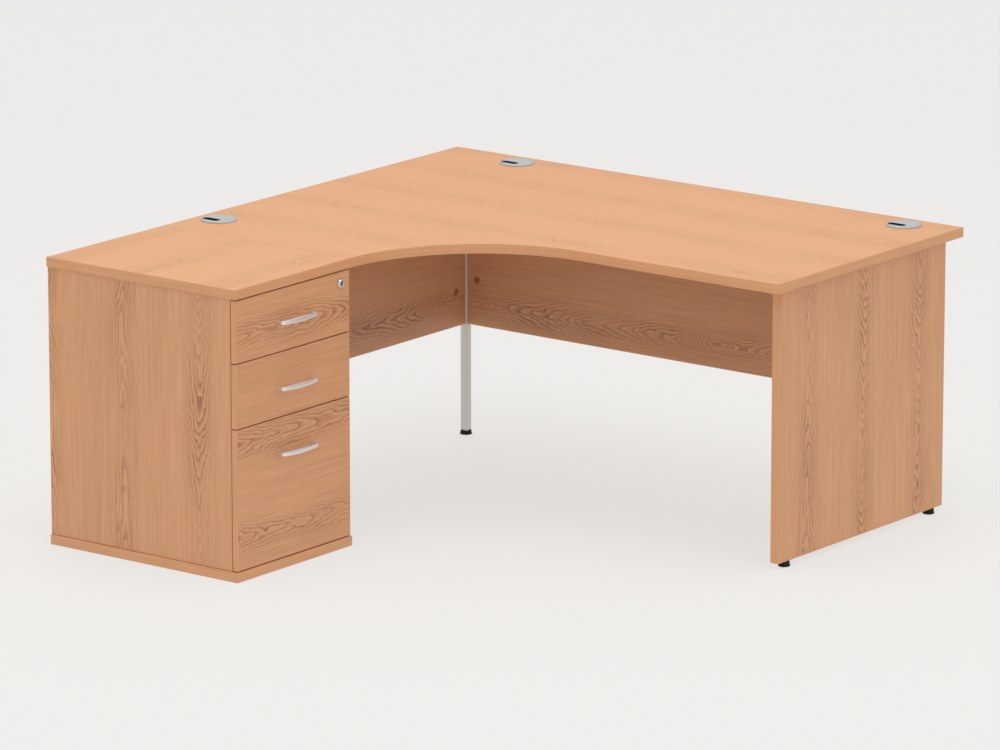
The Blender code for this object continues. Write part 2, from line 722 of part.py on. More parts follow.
def make_runners(key, centre_z, height, members):
    """Channels that nest in each other on both sides of a tray, from the carcass side to the tray."""
    length_middle = (TRAY_BACK + TRAY_FRONT) / 2
    length = TRAY_FRONT - TRAY_BACK - 2 * RUNNER_END_INSET
    room = RUNNER_SPACE - 2 * TOUCHING_GAP
    for side in ("outer", "inner"):
        sign = 1 if side == "outer" else -1
        wall = CARCASS_OUTER + CARCASS_THICKNESS if side == "outer" else CARCASS_INNER - CARCASS_THICKNESS
        for index, member in enumerate(members):
            depth = room - 2 * max(index, 1) * RUNNER_SHEET
            nested = height - 2 * index * RUNNER_STEP
            facing = sign
            start = wall + sign * (TOUCHING_GAP + 2 * index * RUNNER_SHEET)
            if member == "drawer":
                facing = -sign
                start = wall + sign * (RUNNER_SPACE - TOUCHING_GAP)
            outline = [(facing * across, up) for across, up in channel_outline(nested, depth)]
            if facing < 0:
                outline.reverse()
            channel = plate(f"runner_{key}_{side}_{member}", outline, 0.0, length)
            standing(channel, "YZ", (length_middle, start, centre_z))
            finish(channel, "zinc_steel")


def make_handle(key, z):
    """A flat bow: two feet on the drawer front, and a strip between them that arches away from it."""
    half = HANDLE_LENGTH / 2
    radius = (half**2 + HANDLE_BOW**2) / (2 * HANDLE_BOW)
    centre = (HANDLE_STANDOFF + HANDLE_BOW - radius, 0.0)
    reach = math.asin((half - 0.003) / radius)
    outer = arc(centre, radius, -reach, reach, 16)
    inner_half = half - HANDLE_FOOT
    inner_reach = math.asin(inner_half / (radius - HANDLE_THICKNESS))
    inner = arc(centre, radius - HANDLE_THICKNESS, inner_reach, -inner_reach, 12)
    corner = HANDLE_STANDOFF - 0.003
    outline = [(0.0, -half), (corner, -half), *outer, (corner, half), (0.0, half)]
    outline += [(0.0, inner_half), *inner, (0.0, -inner_half)]
    handle = plate(f"handle_{key}", outline, z - HANDLE_HEIGHT / 2, HANDLE_HEIGHT)
    middle = (CARCASS_OUTER + CARCASS_INNER) / 2
    handle.location = (FRONT_FACE + TOUCHING_GAP, middle, z)
    round_edges(handle, 0.0008)
    finish(handle, "satin_nickel")


# The lock: its housing goes through the top drawer's front, and its cam turns up behind the strike.
def make_lock(front, front_top):
    y = CARCASS_INNER - LOCK_SIDE_INSET
    z = front_top - LOCK_DROP
    sleeve_end = -FRONT_THICKNESS - LOCK_SLEEVE_OVERHANG
    bore = BARREL_RADIUS + BARREL_CLEARANCE
    sleeve_radius = bore + LOCK_SLEEVE_WALL
    rim_radius = sleeve_radius + LOCK_RIM_LIP
    rim = LOCK_PROTRUSION
    housing_profile = [
        (bore, rim),
        (rim_radius - LOCK_CHAMFER, rim),
        (rim_radius, rim - LOCK_CHAMFER),
        (rim_radius, TOUCHING_GAP),
        (sleeve_radius, TOUCHING_GAP),
        (sleeve_radius, sleeve_end),
        (bore, sleeve_end),
    ]
    along_x = (0.0, math.pi / 2, 0.0)
    at = (FRONT_FACE, y, z)
    housing = turned("lock_housing", housing_profile, at, "chrome", closed=True)
    housing.rotation_euler = along_x
    barrel_end = sleeve_end - BARREL_RECESS
    barrel_profile = [
        (0.0, rim - BARREL_RECESS),
        (BARREL_RADIUS, rim - BARREL_RECESS),
        (BARREL_RADIUS, barrel_end),
        (0.0, barrel_end),
    ]
    barrel = turned("lock_barrel", barrel_profile, at, "satin_nickel")
    barrel.rotation_euler = along_x
    width, height, depth = KEY_SLOT
    keyhole = box(
        "keyhole",
        (FRONT_FACE + rim - depth, FRONT_FACE + rim + depth),
        (y - width / 2, y + width / 2),
        (z - height / 2, z + height / 2),
        CUTTERS,
    )
    cut(barrel, keyhole)
    cam_front = barrel_end - TOUCHING_GAP
    half = CAM_WIDTH / 2
    tip = CAM_WIDTH / 4
    corners = [
        ((-CAM_LENGTH, half), tip),
        ((-CAM_LENGTH, -half), tip),
        ((half, -half), half),
        ((half, half), half),
    ]
    cam = plate("lock_cam", rounded_outline(corners, 4), 0.0, CAM_THICKNESS)
    standing(cam, "YZ", (FRONT_FACE + cam_front - CAM_THICKNESS / 2, y, z))
    finish(cam, "zinc_steel")
    passage_radius = sleeve_radius + TOUCHING_GAP
    passage = cylinder("lock_passage", passage_radius, 4 * FRONT_THICKNESS, (FRONT_FACE, y, z), "X")
    cut(front, passage)
    lip = FRONT_FACE + cam_front + STRIKE_CLEARANCE + STRIKE_SHEET
    outline = [
        (-STRIKE_LENGTH, 0.0),
        (-STRIKE_LENGTH, -STRIKE_SHEET),
        (-STRIKE_SHEET, -STRIKE_SHEET),
        (-STRIKE_SHEET, -STRIKE_DROP),
        (0.0, -STRIKE_DROP),
        (0.0, 0.0),
    ]
    strike = plate("lock_strike", outline, 0.0, STRIKE_WIDTH)
    standing(strike, "XZ", (lip, y, PANEL_TOP))
    finish(strike, "zinc_steel")


def make_drawers():
    heights = front_heights()
    for key, (low, high) in heights.items():
        front = make_drawer_front(key, (low, high))
        filing = key == "filing"
        tray_bottom = low + TRAY_LIFT
        tray_height = high - low - FILING_TRAY_HEADROOM if filing else SHALLOW_TRAY_HEIGHT
        make_tray(key, tray_bottom, tray_height)
        members = ("cabinet", "middle", "drawer") if filing else ("cabinet", "drawer")
        runner_height = FILING_RUNNER_HEIGHT if filing else RUNNER_HEIGHT
        make_runners(key, tray_bottom + RUNNER_LIFT, runner_height, members)
        make_handle(key, high - HANDLE_DROPS[key])
        if key == "top":
            make_lock(front, high)


def main():
    make_desk_top()
    for key in GROMMET_CENTRES:
        make_grommet(key)
    make_right_panel_end()
    make_return_panel_end()
    make_corner_leg()
    make_modesty_panels()
    make_brackets()
    make_pedestal()
    make_drawers()


main()
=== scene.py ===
# %% [markdown]
# # A corner desk with a drawer pedestal
# The real desk is flat-pack office furniture: boards faced with a printed wood laminate, a few steel and
# plastic fittings, and three drawers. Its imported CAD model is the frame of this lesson. It is loaded first
# and never moves. Each piece that shows is then given a finish, or is replaced by a finer surface in the
# same place, which rides on the same moving body.

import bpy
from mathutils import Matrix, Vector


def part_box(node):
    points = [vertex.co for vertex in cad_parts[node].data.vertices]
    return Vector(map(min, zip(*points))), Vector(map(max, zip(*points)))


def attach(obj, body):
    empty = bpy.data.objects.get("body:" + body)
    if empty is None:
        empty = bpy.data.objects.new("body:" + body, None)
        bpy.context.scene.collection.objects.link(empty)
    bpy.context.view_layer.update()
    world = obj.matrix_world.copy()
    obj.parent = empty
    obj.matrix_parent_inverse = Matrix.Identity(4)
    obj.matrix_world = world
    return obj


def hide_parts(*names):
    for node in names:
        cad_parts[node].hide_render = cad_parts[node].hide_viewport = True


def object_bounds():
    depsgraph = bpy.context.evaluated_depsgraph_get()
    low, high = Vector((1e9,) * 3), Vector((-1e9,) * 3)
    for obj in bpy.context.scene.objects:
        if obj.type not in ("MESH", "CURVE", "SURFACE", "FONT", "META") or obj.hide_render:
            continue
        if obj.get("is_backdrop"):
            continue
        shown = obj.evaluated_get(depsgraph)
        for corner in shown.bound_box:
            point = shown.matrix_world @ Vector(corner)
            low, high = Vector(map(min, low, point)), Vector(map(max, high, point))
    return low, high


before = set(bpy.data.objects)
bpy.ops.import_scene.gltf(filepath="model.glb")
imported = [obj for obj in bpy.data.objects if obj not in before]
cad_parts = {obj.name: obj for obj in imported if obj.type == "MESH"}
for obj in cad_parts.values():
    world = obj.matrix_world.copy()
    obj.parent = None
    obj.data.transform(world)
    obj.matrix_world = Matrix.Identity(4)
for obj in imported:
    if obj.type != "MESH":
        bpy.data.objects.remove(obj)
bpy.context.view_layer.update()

# %% Import what makes the surfaces
import math

import bmesh
import bpy
import numpy as np
from mathutils.geometry import tessellate_polygon

MM = 0.001
AXES = "xyz"

# %% [markdown]
# ## Colours and shader nodes
# A colour picked from a screen is in sRGB, but a shader works in linear light, so one function turns hex
# into linear. A node tree could be drawn by hand. Here one small function adds a node with its settings and
# links, which keeps every finish readable from top to bottom.


# %% Helpers for finishes
def linear(hex_colour):
    """Linear light from sRGB: c / 12.92 up to 0.04045, and ((c + 0.055) / 1.055) to the power 2.4 above."""
    srgb = np.array([int(hex_colour[start : start + 2], 16) for start in (1, 3, 5)]) / 255
    curved = ((srgb + 0.055) / 1.055) ** 2.4
    return (*np.where(srgb <= 0.04045, srgb / 12.92, curved).tolist(), 1.0)


def add(tree, kind, sockets=(), **settings):
    """Adds a node. sockets pairs an input's name or number with a value, or with another node's output."""
    made = tree.nodes.new(kind)
    for name, value in settings.items():
        setattr(made, name, value)
    for name, value in dict(sockets).items():
        if isinstance(value, bpy.types.NodeSocket):
            tree.links.new(value, made.inputs[name])
        else:
            made.inputs[name].default_value = value
    return made


def new_finish(name, sockets):
    """A material, with its Principled shader's own sockets set, and its node tree."""
    made = bpy.data.materials.new(name)
    made.use_nodes = True
    shader = made.node_tree.nodes["Principled BSDF"]
    for socket, value in sockets.items():
        shader.inputs[socket].default_value = value
    return made, made.node_tree, shader


def between(tree, level, pale, dark):
    """The colour at that level between a pale and a dark one, from 0 to 1."""
    sockets = {0: level, 6: linear(pale), 7: linear(dark)}
    return add(tree, "ShaderNodeMix", sockets, data_type="RGBA").outputs[2]


def in_metres(tree, scale):
    """Object coordinates times a scale for each axis, in repeats per metre."""
    place = add(tree, "ShaderNodeTexCoord").outputs["Object"]
    return add(tree, "ShaderNodeMapping", {"Vector": place, "Scale": scale}).outputs["Vector"]


# %% [markdown]
# ## The laminate's figure
# The boards are faced with melamine paper printed like crown-cut wood. A crown cut slices the growth rings at
# a shallow angle, so along the middle of each veneer leaf they show as nested arches, called cathedrals,
# and at its sides as fine straight lines. An image of wood could be pasted on, but it would repeat and has
# one resolution. Instead the rings are the contour lines of a height over the sheet: it climbs along the
# grain, and rises from the leaf's middle line like a hyperbola. Slow noise makes it wander, fast noise
# frays the lines, and a knot adds a small pit, round which the lines close.

# %% Sizes of the figure, in metres and rings per metre
LEAF_WIDTH = 0.240  # width of one veneer leaf of the print
SWAY = 0.022  # how far a leaf's middle line wanders sideways
SWAY_WAVES = (5.0, 2.6)  # waves per metre of that, across and along the grain
ARCH_TIP = 0.006  # how round the arches' tips are
FIGURE_HALF = 0.055  # half width of the arched strip in a leaf
RINGS_ACROSS = 80.0
RINGS_CROWD = 700.0  # how much closer the rings come away from the leaf's middle, per metre squared
RINGS_ALONG = 25.0
LOOSE_CLIMB = 0.55  # how slowly the other half of the leaves climb, so that their rings close into spindles
FIBRE_ACROSS = 260.0  # fibres per metre. Real pores are 0.2 mm wide, and these are drawn coarser to show
FIBRE_ALONG = 5.0
FIGURE_FADE = (0.3, 1.1)  # shares of FIGURE_HALF where the arches start to fade, and where they have faded
FIGURE_REST = 0.10  # how strongly the rings still show beside the arches
LINE_FADE = 2.2  # how quickly a ring's line pales over its width
LEAF_SHIFT = 5.7  # how far apart two leaves read the noise that paces their climb
PACE = (2.6, 6.0)  # waves per metre of that pace, and how many rings it adds
WANDER = (22.0, 6.0, 1.5, 3.0)  # waves per metre across and along, detail, and how many rings it adds
RIPPLE = (62.0, 24.0, 1.0, 1.2)
FRAY = (260.0, 30.0, 1.5, 0.45)
HEART = (0.10, 0.42)  # shares of a knot's radius where its dark heart starts to fade, and where it ends


def sheet_noise(tree, sheet, across, along, detail=2.0):
    """Noise over the sheet, with its own number of waves per metre across and along the grain."""
    stretched = add(tree, "ShaderNodeMapping", {"Vector": sheet, "Scale": (across, along, 1.0)})
    sockets = {"Vector": stretched.outputs["Vector"], "Scale": 1.0, "Detail": detail}
    return add(tree, "ShaderNodeTexNoise", sockets).outputs["Fac"]


# %% Rings as contour lines
def leaf_place(tree, sheet):
    """The signed distance from the nearest leaf's middle line, and that leaf's number."""
    across = add(tree, "ShaderNodeSeparateXYZ", {"Vector": sheet}).outputs["X"]
    sway = sheet_noise(tree, sheet, *SWAY_WAVES)
    swayed = add(tree, "ShaderNodeMath", {0: sway, 1: SWAY, 2: across}, operation="MULTIPLY_ADD")
    leaves = add(tree, "ShaderNodeMath", {0: swayed.outputs[0], 1: LEAF_WIDTH}, operation="DIVIDE")
    number = add(tree, "ShaderNodeMath", {0: leaves.outputs[0]}, operation="FLOOR")
    part = add(tree, "ShaderNodeMath", {0: leaves.outputs[0]}, operation="FRACT")
    sockets = {0: part.outputs[0], 1: LEAF_WIDTH, 2: -LEAF_WIDTH / 2}
    middle = add(tree, "ShaderNodeMath", sockets, operation="MULTIPLY_ADD")
    return middle.outputs[0], number.outputs[0]


def knot_pits(tree, sheet, knots):
    """The height that each knot adds, as a smooth pit, and the darkness of the knots' hearts."""
    height, core = 0.0, 0.0
    for across, along, radius, stretch, rings, heart in knots:
        offset = add(tree, "ShaderNodeVectorMath", {0: sheet, 1: (across, along, 0.0)}, operation="SUBTRACT")
        narrow = (1 / radius, 1 / (stretch * radius), 0.0)
        scaled = add(tree, "ShaderNodeVectorMath", {0: offset.outputs[0], 1: narrow}, operation="MULTIPLY")
        reach = add(tree, "ShaderNodeVectorMath", {0: scaled.outputs[0]}, operation="LENGTH").outputs["Value"]
        falls = {"Value": reach, "From Min": 0.0, "From Max": 1.0, "To Min": rings, "To Max": 0.0}
        pit = add(tree, "ShaderNodeMapRange", falls, interpolation_type="SMOOTHSTEP").outputs["Result"]
        spot = {"Value": reach, "From Min": HEART[0], "From Max": HEART[1], "To Min": heart, "To Max": 0.0}
        dark = add(tree, "ShaderNodeMapRange", spot, interpolation_type="SMOOTHSTEP").outputs["Result"]
        height = add(tree, "ShaderNodeMath", {0: height, 1: pit}, operation="ADD").outputs[0]
        core = add(tree, "ShaderNodeMath", {0: core, 1: dark}, operation="MAXIMUM").outputs[0]
    return height, core


def ring_lines(tree, sheet, middle, number, pits):
    """Dark where a ring begins, and paler over its width: 1 - the height's fraction, to the power LINE_FADE.

    The height is RINGS_ACROSS times the distance to a leaf's middle, rounded at the tip, plus RINGS_CROWD
    times its square, plus RINGS_ALONG times the way climbed, plus the noises and the knots' pits.
    Of each four leaves the first two climb slowly along the grain, and the other two the other way.
    """
    tip = add(tree, "ShaderNodeCombineXYZ", {"X": middle, "Y": ARCH_TIP})
    rise = add(tree, "ShaderNodeVectorMath", {0: tip.outputs[0]}, operation="LENGTH").outputs["Value"]
    square = add(tree, "ShaderNodeMath", {0: middle, 1: middle}, operation="MULTIPLY").outputs[0]
    along = add(tree, "ShaderNodeSeparateXYZ", {"Vector": sheet}).outputs["Y"]
    of_four = add(tree, "ShaderNodeMath", {0: number, 1: 4.0}, operation="MODULO").outputs[0]
    falling = add(tree, "ShaderNodeMath", {0: of_four, 1: 1.5}, operation="GREATER_THAN").outputs[0]
    sockets = {0: falling, 1: -1.0 - LOOSE_CLIMB, 2: LOOSE_CLIMB}
    way = add(tree, "ShaderNodeMath", sockets, operation="MULTIPLY_ADD").outputs[0]
    climb = add(tree, "ShaderNodeMath", {0: along, 1: way}, operation="MULTIPLY").outputs[0]
    shift = add(tree, "ShaderNodeMath", {0: number, 1: LEAF_SHIFT}, operation="MULTIPLY").outputs[0]
    track = add(tree, "ShaderNodeCombineXYZ", {"X": shift, "Y": along})
    pace = sheet_noise(tree, track.outputs[0], 1.0, PACE[0], 1.0)
    terms = [(rise, RINGS_ACROSS), (square, RINGS_CROWD), (climb, RINGS_ALONG), (pace, PACE[1])]
    terms += [(sheet_noise(tree, sheet, *waves), rings) for *waves, rings in (WANDER, RIPPLE, FRAY)]
    height = pits
    for term, weight in terms:
        sockets = {0: term, 1: weight, 2: height}
        height = add(tree, "ShaderNodeMath", sockets, operation="MULTIPLY_ADD").outputs[0]
    part = add(tree, "ShaderNodeMath", {0: height}, operation="FRACT").outputs[0]
    rest = add(tree, "ShaderNodeMath", {0: 1.0, 1: part}, operation="SUBTRACT").outputs[0]
    return add(tree, "ShaderNodeMath", {0: rest, 1: LINE_FADE}, operation="POWER").outputs[0]


# %% The printed laminate
PATCHES = (9.0, 4.0)  # waves per metre, across and along, of the places where the rings show less
STREAKS = (110.0, 2.0, 2.0)  # the same, and the detail, of streaks as wide as a few fibres
TONES = (7.0, 1.2, 1.0)  # and of the slow change of tone over a board
STREAK_SHARE = 0.55  # how strong the streaks are beside the fibres
TONE_SHARE = 0.4


def laminate(name, pale, dark, figure, fibre, knots=()):
    """Melamine laminate. figure and fibre are how strongly the rings and the fine fibres darken it."""
    made, tree, shader = new_finish(name, {"Roughness": 0.46, "IOR": 1.50})
    sheet = add(tree, "ShaderNodeUVMap", uv_map="sheet").outputs["UV"]
    middle, number = leaf_place(tree, sheet)
    pits, cores = knot_pits(tree, sheet, knots)
    lines = ring_lines(tree, sheet, middle, number, pits)
    distance = add(tree, "ShaderNodeMath", {0: middle}, operation="ABSOLUTE").outputs[0]
    start, end = (share * FIGURE_HALF for share in FIGURE_FADE)
    fades = {"Value": distance, "From Min": start, "From Max": end, "To Min": 1.0, "To Max": FIGURE_REST}
    strip = add(tree, "ShaderNodeMapRange", fades)
    patches = sheet_noise(tree, sheet, *PATCHES)
    uneven = {"Value": patches, "From Min": 0.35, "From Max": 0.62, "To Min": 0.35, "To Max": 1.0}
    patchy = add(tree, "ShaderNodeMapRange", uneven).outputs["Result"]
    shown = add(tree, "ShaderNodeMath", {0: strip.outputs["Result"], 1: patchy}, operation="MULTIPLY")
    rings = add(tree, "ShaderNodeMath", {0: shown.outputs[0], 1: lines}, operation="MULTIPLY").outputs[0]
    fibres = sheet_noise(tree, sheet, FIBRE_ACROSS, FIBRE_ALONG, 3.0)
    streaks = sheet_noise(tree, sheet, *STREAKS)
    tone = sheet_noise(tree, sheet, *TONES)
    terms = ((rings, figure), (fibres, fibre), (streaks, STREAK_SHARE * fibre), (tone, TONE_SHARE * fibre))
    darkness = cores
    for term, weight in terms:
        sockets = {0: term, 1: weight, 2: darkness}
        darkness = add(tree, "ShaderNodeMath", sockets, operation="MULTIPLY_ADD").outputs[0]
    span = {"Value": darkness, "From Min": 0.25 * fibre, "From Max": 1.0 + 0.9 * fibre}
    level = add(tree, "ShaderNodeMapRange", span).outputs["Result"]
    tree.links.new(between(tree, level, pale, dark), shader.inputs["Base Color"])
    sockets = {"Height": darkness, "Strength": 0.25, "Distance": 0.05 * MM}
    pores = add(tree, "ShaderNodeBump", sockets, invert=True)
    tree.links.new(pores.outputs["Normal"], shader.inputs["Normal"])
    return made


# %% [markdown]
# ## The edging
# A board's raw edges are covered by a 2 mm strip of ABS, printed to match and glued on, whose corners the
# edge bander rounds by 1 mm. Its print has straight grain only, and the pattern runs along the strip, so it
# reads the same UV map as the faces: across the grain first, and then along it, both in metres.


# %% The printed edging
EDGING_FIBRES = (300.0, 5.0, 3.0)  # fibres per metre across and along, and detail
CHIP = 2.0 * MM


def edging(name, pale, dark):
    """ABS edging: straight fibres along the strip, a little smoother than the laminate."""
    made, tree, shader = new_finish(name, {"Roughness": 0.42, "IOR": 1.50})
    strip = add(tree, "ShaderNodeUVMap", uv_map="sheet").outputs["UV"]
    fibres = sheet_noise(tree, strip, *EDGING_FIBRES)
    sockets = {"Value": fibres, "From Min": 0.3, "From Max": 0.7}
    level = add(tree, "ShaderNodeMapRange", sockets).outputs["Result"]
    tree.links.new(between(tree, level, pale, dark), shader.inputs["Base Color"])
    grain = add(tree, "ShaderNodeBump", {"Height": fibres, "Strength": 0.2, "Distance": 0.03 * MM})
    tree.links.new(grain.outputs["Normal"], shader.inputs["Normal"])
    return made


def raw_chipboard(name):
    """Cut chipboard, as inside the cable holes: pale chips about 2 mm across, and dull."""
    made, tree, shader = new_finish(name, {"Roughness": 0.85, "IOR": 1.45})
    place = in_metres(tree, (1 / CHIP, 1 / CHIP, 1 / CHIP))
    chips = add(tree, "ShaderNodeTexVoronoi", {"Vector": place, "Scale": 1.0})
    colour = between(tree, chips.outputs["Distance"], "#C9A87C", "#8A6844")
    tree.links.new(colour, shader.inputs["Base Color"])
    return made


# %% [markdown]
# ## Surfaces from arrays
# Every new piece is a grid of points worked out with numpy: one row of points is an outline, and the rows
# follow each other along a profile. Neighbouring rows are joined by four-sided faces. A last check adds up
# the volume that the faces enclose, and turns them all round if it comes out negative, so that each piece
# faces outwards.


# %% Helpers for surfaces
SAME_POINT = 0.001 * MM
SHARP_FROM = 32.0  # degrees between two faces, from which their edge isn't shaded smooth


def grid_faces(rows, columns, start=0, loop_rows=False):
    """Corner numbers of the faces between rows, whose last column joins the first."""
    row = np.arange(rows if loop_rows else rows - 1)[:, None]
    column = np.arange(columns)[None, :]
    following = (row + 1) % rows
    beside = (column + 1) % columns
    corners = (row * columns + column, row * columns + beside, following * columns + beside)
    corners += (following * columns + column,)
    return start + np.stack(corners, axis=-1).reshape(-1, 4)


def enclosed_volume(points, faces):
    """Sum over the faces' triangles of a . (b x c) / 6, which is positive if they face outwards."""
    total = 0.0
    for second in range(1, faces.shape[1] - 1):
        a, b, c = points[faces[:, 0]], points[faces[:, second]], points[faces[:, second + 1]]
        total += np.einsum("ij,ij->i", a, np.cross(b, c)).sum() / 6
    return total


def skin(name, grids, loop_rows=False, sharp=SHARP_FROM):
    """A mesh of one or more closed grids of shape (rows, columns, 3). Points that coincide are merged."""
    mesh = bpy.data.meshes.new(name)
    points, faces = [], []
    for grid in grids:
        flat = grid.reshape(-1, 3)
        found = grid_faces(grid.shape[0], grid.shape[1], 0, loop_rows)
        if enclosed_volume(flat, found) < 0:
            found = found[:, ::-1]
        faces.append(found + sum(map(len, points)))
        points.append(flat)
    mesh.from_pydata(np.concatenate(points), [], np.concatenate(faces).tolist())
    merge_doubles(mesh)
    mesh.shade_smooth()
    mesh.set_sharp_from_angle(angle=math.radians(sharp))
    return mesh


def merge_doubles(mesh):
    """Closes seams and poles: points nearer than 0.001 mm become one, and a face with no area goes."""
    made = bmesh.new()
    made.from_mesh(mesh)
    bmesh.ops.remove_doubles(made, verts=made.verts, dist=SAME_POINT)
    made.to_mesh(mesh)
    made.free()


def show(name, mesh, finish, body, slot, *replaced):
    """Puts a finished mesh in the scene, on its body, in place of the CAD nodes that it stands for."""
    made = bpy.data.objects.new(name, mesh)
    bpy.context.scene.collection.objects.link(made)
    if finish is not None:
        mesh.materials.append(finish)
    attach(made, body)
    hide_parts(*replaced)
    mesh.validate()
    print(f"{name}: {len(mesh.polygons)} faces, for {', '.join(replaced) or 'no node'}")
    return made


def soften(corners, radius, steps=5):
    """Each corner P becomes a curve, (1-t)^2 A + 2t(1-t) P + t^2 B, with A and B at the radius from P."""
    corners = np.asarray(corners, float)
    before = np.roll(corners, 1, axis=0) - corners
    after = np.roll(corners, -1, axis=0) - corners
    radius = np.broadcast_to(np.asarray(radius, float), len(corners))[:, None]
    start = corners + before / np.linalg.norm(before, axis=1, keepdims=True) * radius
    end = corners + after / np.linalg.norm(after, axis=1, keepdims=True) * radius
    t = np.linspace(0.0, 1.0, steps)[:, None, None]
    curves = (1 - t) ** 2 * start + 2 * t * (1 - t) * corners + t**2 * end
    return curves.transpose(1, 0, 2).reshape(-1, 2)


def lathe(profile, centre, axis="z", steps=64):
    """A turned grid: each (radius, height) of the profile goes round the axis as r cos a, r sin a, h."""
    angle = np.linspace(0.0, 2 * np.pi, steps, endpoint=False)
    radius, height = np.asarray(profile, float).T
    first = radius[:, None] * np.cos(angle)
    second = radius[:, None] * np.sin(angle)
    third = np.broadcast_to(height[:, None], first.shape)
    turned = np.stack([first, second, third], axis=-1)
    return np.roll(turned, AXES.index(axis) + 1, axis=-1) + np.asarray(centre)


# %% [markdown]
# ## A board
# A board is an outline with a thickness. Round its rim runs a profile: from the face over a hair-thin glue
# line, 2 mm of edging, its rounded corner, the edge itself, and the same again on the other side. Moving an
# outline inwards needs a mitre at each corner: both edges' inward normals added, and divided by one plus
# their dot product. The flat faces are triangles between the rim and any holes.

# %% Sizes of the rim
EDGING = 2.0 * MM
ROUNDING = 1.1 * MM
GLUE_LINE = 0.3 * MM
GLUE_DEPTH = 0.12 * MM


def mitres(outline):
    """Inward mitre of each corner of an outline that runs anticlockwise."""
    along = np.roll(outline, -1, axis=0) - outline
    along /= np.linalg.norm(along, axis=1, keepdims=True)
    inward = np.stack([-along[:, 1], along[:, 0]], axis=1)
    last = np.roll(inward, 1, axis=0)
    return (inward + last) / (1 + np.sum(inward * last, axis=1, keepdims=True))


def rim_profile(low, high):
    """Rows of (how far inside the outline, level), from the low face round the edge to the high face."""
    turn = np.linspace(0.0, np.pi / 2, 6)
    inset = ROUNDING * (1 - np.sin(turn))
    level = ROUNDING * (1 - np.cos(turn))
    glue = [(EDGING + GLUE_LINE, 0.0), (EDGING + GLUE_LINE / 2, GLUE_DEPTH), (EDGING, 0.0)]
    half = np.concatenate([glue, np.stack([inset, level], axis=1)])
    upper = half[::-1] * (1, -1) + (0, high)
    return np.concatenate([half + (0, low), upper])


# %% The board's surface
def board_mesh(name, outline, levels, axis, grain, place, holes=()):
    """A board across the named axis. Its sheet UV is (across, along) the grain, moved by place."""
    low, high = levels
    rim = rim_profile(low, high)
    outline = np.asarray(outline, float)
    mitre = mitres(outline)
    rings = [(outline[None] + rim[:, :1, None] * mitre[None], rim[:, 1])]
    rings += [(np.stack([hole, hole]), np.array([low, high])) for hole in holes]
    points, faces, sheets, slots = [], [], [], []
    lows, highs = [], []
    count = 0
    for index, (loops, level) in enumerate(rings):
        rows, columns = loops.shape[:2]
        heights = np.broadcast_to(level[:, None, None], (rows, columns, 1))
        points.append(np.concatenate([loops, heights], axis=-1).reshape(-1, 3))
        faces.append(grid_faces(rows, columns, count))
        sheets.append(strip_sheet(loops, level, place))
        slots.append(np.full(len(faces[-1]), 1 if index == 0 else 2))
        lows.append(np.arange(count, count + columns))
        highs.append(np.arange(count + (rows - 1) * columns, count + rows * columns))
        count += rows * columns
    points = np.concatenate(points)
    caps = [cap_triangles(points, lows, False), cap_triangles(points, highs, True)]
    caps = np.concatenate(caps)
    world = np.roll(points, AXES.index(axis) + 1, axis=1)
    across = AXES.index((set(AXES) - {axis, grain}).pop())
    flat = world[caps][..., [across, AXES.index(grain)]] + np.asarray(place)
    mesh = bpy.data.meshes.new(name)
    mesh.from_pydata(world, [], np.concatenate(faces).tolist() + caps.tolist())
    sheet = np.concatenate([*[s.reshape(-1, 2) for s in sheets], flat.reshape(-1, 2)])
    mesh.uv_layers.new(name="sheet").data.foreach_set("uv", sheet.ravel())
    slots = np.concatenate([*slots, np.zeros(len(caps), int)])
    mesh.polygons.foreach_set("material_index", slots)
    mesh.polygons.foreach_set("use_smooth", slots == 1)
    mesh.set_sharp_from_angle(angle=math.radians(SHARP_FROM))
    return mesh


def strip_sheet(loops, level, place):
    """The rim's UV: distance over the profile as the way across, and round the outline as the way along."""
    rows, columns = loops.shape[:2]
    step = np.linalg.norm(np.roll(loops[0], -1, axis=0) - loops[0], axis=1)
    along = np.concatenate([[0.0], np.cumsum(step)])
    inset = np.linalg.norm(loops - loops[rows // 2], axis=-1)[:, 0]
    over = np.concatenate([[0.0], np.cumsum(np.hypot(np.diff(inset), np.diff(level)))])
    row, column = np.meshgrid(np.arange(rows - 1), np.arange(columns), indexing="ij")
    corners = [(row, column), (row, column + 1), (row + 1, column + 1), (row + 1, column)]
    sheet = [np.stack([over[r] + place[0], along[c] + place[1]], axis=-1) for r, c in corners]
    return np.stack(sheet, axis=2)


NO_AREA = 1e-12


def cap_triangles(points, loops, upward):
    """Triangles between one outline and its holes, all turned to face up, or down."""
    numbers = np.concatenate(loops)
    flat = [[(x, y, 0.0) for x, y in points[loop][:, :2]] for loop in loops]
    found = numbers[np.array(tessellate_polygon(flat))]
    a, b, c = (points[found[:, corner]][:, :2] for corner in range(3))
    area = np.cross(b - a, c - a)
    real = np.abs(area) > NO_AREA
    found = found[real]
    turned = (area[real] > 0) != upward
    found[turned] = found[turned][:, ::-1]
    return found


# %% [markdown]
# ## Where each board is cut from
# A factory saws its boards from large laminated sheets, so no two show the same place of the print. Each
# board here says which way its grain runs, where across it an arched strip shows, and which leaf of the
# print that is. The worktops are cut with the grain along their wings, the carcass and panel ends with
# upright grain, and the drawer fronts and modesty panels with level grain. Two modesty panels meet at the
# leg on a knotty part of the print, so the knots are placed there.

